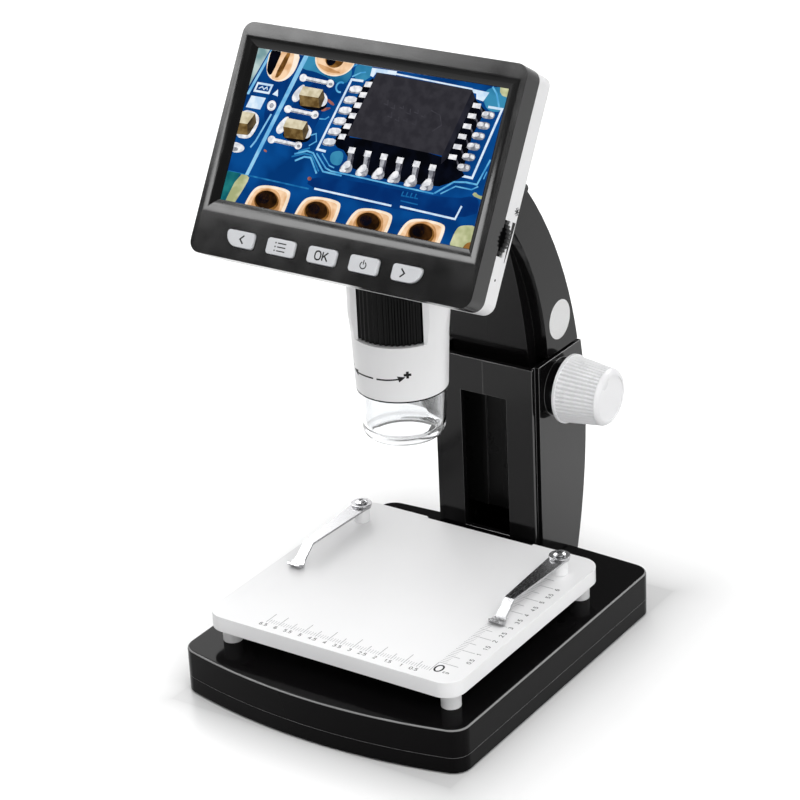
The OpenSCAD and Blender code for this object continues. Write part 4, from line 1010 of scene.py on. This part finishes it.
def make_legs():
    """Six bright legs, with their shade, at the chip's front and at each side."""
    light = screen_layer("legs_light", "lead_light", 9)
    mid = screen_layer("legs_mid", "lead_mid", 8)
    shade = screen_layer("legs_dark", "lead_dark", 7)
    front_leg = (
        (light, [(-1.1, 0), (1.3, 0), (1.1, -1.9), (-1.3, -1.9)], 0),
        (mid, [(-1.0, -1.7), (0.6, -1.7), (0.7, -5.2), (-0.6, -5.2)], 0),
        (shade, [(0.2, -1.7), (1.3, -1.7), (1.5, -5.6), (0.2, -5.6)], 0),
        (light, [(-0.9, -4.4), (0.7, -4.4), (0.9, -6.2), (-0.4, -6.9), (-2.3, -7.6), (-2.2, -6.3)], 1),
        (mid, [(-2.0, -5.8), (1.2, -5.0), (1.9, -6.6), (1.3, -8.2), (-2.4, -8.2), (-2.8, -7.2)], 1),
        (light, [(-2.5, -7.2), (-0.2, -7.3), (-0.4, -8.3), (-2.7, -8.3)], 1),
    )
    for place in FRONT_LEGS:
        for layer, outline, rounds in front_leg:
            layer.patch(shifted(outline, *place), rounds)
    root_left = [(-1.2, 0.8), (1.3, 1.0), (0.9, -0.8), (-1.5, -0.9)]
    tip_left = [(-2.3, 0.9), (2.1, 1.3), (2.0, -0.7), (-2.6, -1.1)]
    tip_left_shade = [(-2.4, -0.2), (1.9, 0.1), (1.8, -1.3), (-2.8, -1.5)]
    root_right = [(-1.5, 0.8), (1.3, 0.9), (1.3, -0.7), (-1.6, -0.7)]
    tip_right_shade = [(-2.3, 0.9), (1.6, 1.3), (2.4, 0), (1.4, -1.2), (-2.4, -1.1)]
    tip_right_inner = [(-2.2, 0.9), (-0.2, 1.1), (0.0, -0.2), (-2.3, -0.5)]
    tip_right_outer = [(0.4, 0.9), (1.7, 0.8), (1.9, -0.4), (0.6, -0.3)]
    for i in range(6):
        light.patch(shifted(root_left, -2.7 - 0.95 * i, 19.3 - 3.52 * i), 0)
        tip = (-6.7 - 0.97 * i, 17.2 - 3.56 * i)
        light.patch(shifted(tip_left, *tip), 1)
        mid.patch(shifted(tip_left_shade, *tip), 1)
        rx, ry = 37.7 - 0.78 * i, 18.3 - 3.36 * i
        light.patch(shifted(root_right, rx, ry), 0)
        tx, ty = 42.4 - 0.78 * i, 16.1 - 3.42 * i
        shade.plate([(rx + 1.2, ry + 0.2), (rx + 1.4, ry - 0.8), (tx - 1.8, ty - 0.6), (tx - 1.8, ty + 0.5)])
        mid.patch(shifted(tip_right_shade, tx, ty), 1)
        light.patch(shifted(tip_right_inner, tx, ty), 1)
        light.patch(shifted(tip_right_outer, tx, ty), 1)
    for layer in (light, mid, shade):
        layer.build()


make_ground()
make_traces()
make_outlines()
make_bars()
make_blocks()
make_holes()
make_patches()
make_chip()
make_legs()


# ---- floor, light and backdrop
FLOOR_HALF = 6.0  # metres
FLOOR_TONE = 0.66
GLOW_RISE, GLOW_LIMIT = 2.1, 0.58  # the floor's glow by the root of its distance in metres, and at most
# Share of white with which the surroundings light the object. The eye, mirrors and clear parts all see
# the same backdrop instead: white at the floor and the horizon, dimmer towards the ceiling.
AMBIENT = 0.53
HORIZON, CEILING = 0.10, 0.38  # upward part of the view's direction
CEILING_TONE = 0.24
LAMP_AIM = Vector((0, 0, 0.1))  # metres


def looked_at(tree):
    """1 where the camera, a mirroring face or a clear part looks at the backdrop, 0 where it only lights."""
    path = node_of(tree, "ShaderNodeLightPath")
    seen = math_node(tree, "MAXIMUM", path.outputs["Is Camera Ray"], path.outputs["Is Transmission Ray"])
    return math_node(tree, "MAXIMUM", seen, path.outputs["Is Glossy Ray"])


def make_floor():
    """Pale floor that glows more away from the object, so that it looks white; the weaker glow near the
    object is painted shade round its foot, added to the lamps' shadow.
    """
    mesh = bpy.data.meshes.new("floor")
    corners = [(x * FLOOR_HALF, y * FLOOR_HALF, 0) for x, y in ((-1, -1), (1, -1), (1, 1), (-1, 1))]
    mesh.from_pydata(corners, [], [(0, 1, 2, 3)])
    floor = new_object("floor", mesh)
    material, tree, shader = blank_material("floor")
    shader.inputs["Base Color"].default_value = (FLOOR_TONE, FLOOR_TONE, FLOOR_TONE, 1.0)
    shader.inputs["Roughness"].default_value = 0.35
    shader.inputs["Emission Color"].default_value = (1.0, 1.0, 1.0, 1.0)
    place = split_coordinates(tree, "Object")
    beyond = []
    for axis, low, high in zip("XY", cad_box[0], cad_box[1]):
        middle, half = (low + high) / 2, (high - low) / 2
        from_middle = math_node(tree, "ABSOLUTE", math_node(tree, "SUBTRACT", place[axis], middle))
        past_edge = math_node(tree, "MAXIMUM", math_node(tree, "SUBTRACT", from_middle, half), 0.0)
        beyond.append(math_node(tree, "POWER", past_edge, 2.0))
    distance = math_node(tree, "SQRT", math_node(tree, "ADD", *beyond))
    # the glow is weaker near the object's box: painted shade round its foot
    rise = math_node(tree, "MULTIPLY", math_node(tree, "SQRT", distance), GLOW_RISE)
    glow = math_node(tree, "MINIMUM", rise, GLOW_LIMIT)
    tree.links.new(math_node(tree, "MULTIPLY", looked_at(tree), glow), shader.inputs["Emission Strength"])
    mesh.materials.append(material)


def make_world():
    world = bpy.data.worlds.new("studio")
    world.use_nodes = True
    bpy.context.scene.world = world
    tree = world.node_tree
    tree.nodes.clear()
    out = node_of(tree, "ShaderNodeOutputWorld")
    mix = node_of(tree, "ShaderNodeMixShader")
    lit_by = node_of(tree, "ShaderNodeBackground")
    lit_by.inputs["Strength"].default_value = AMBIENT
    seen = node_of(tree, "ShaderNodeBackground")
    upward = split_coordinates(tree, "Generated")["Z"]
    white = soft_step(tree, upward, HORIZON, CEILING, 1.0, CEILING_TONE)
    tree.links.new(white, seen.inputs["Strength"])
    for background in (lit_by, seen):
        background.inputs["Color"].default_value = (1.0, 1.0, 1.0, 1.0)
    tree.links.new(looked_at(tree), mix.inputs["Fac"])
    tree.links.new(lit_by.outputs["Background"], mix.inputs[1])
    tree.links.new(seen.outputs["Background"], mix.inputs[2])
    tree.links.new(mix.outputs["Shader"], out.inputs["Surface"])


def softbox(name, azimuth, elevation, distance, size, brightness, lights=True, mirrored=True):
    """Lamp panel facing the object.

    Azimuth goes from the front (-y) towards +x, distance and size are in metres, and brightness 1 is white.
    A panel that doesn't light is a gleam on glossy faces alone. One that isn't mirrored only lights.
    """
    a, e = math.radians(azimuth), math.radians(elevation)
    away = Vector((math.sin(a) * math.cos(e), -math.cos(a) * math.cos(e), math.sin(e)))
    data = bpy.data.lights.new(name, "AREA")
    data.shape = "RECTANGLE"
    data.size, data.size_y = size
    data.energy = brightness * math.pi * size[0] * size[1]
    light = new_object(name, data)
    light.location = LAMP_AIM + away * distance
    light.rotation_euler = (-away).to_track_quat("-Z", "Y").to_euler()
    light.visible_camera = False
    light.visible_diffuse = lights
    light.visible_glossy = mirrored


make_floor()
make_world()
softbox("key", 66, 60, 1.7, (1.2, 1.2), 3.4, mirrored=False)
softbox("side", 66, 16, 1.5, (0.9, 1.2), 1.8)
softbox("fill", -25, 64, 1.6, (1.0, 1.0), 0.5)
softbox("back", -118, 36, 1.6, (2.2, 1.6), 0.5, mirrored=False)
softbox("gleam_back_left", -118, 32, 1.5, (1.25, 0.8), 3.4, lights=False)
softbox("gleam_front_left", -72, 44, 1.5, (1.5, 0.5), 12.0, lights=False)
softbox("gleam_overhead", -60, 72, 1.5, (1.5, 0.5), 7.0, lights=False)
softbox("gleam_rear", 160, 36, 1.5, (1.0, 0.6), 6.0, lights=False)

bpy.context.scene.view_settings.view_transform = "Standard"
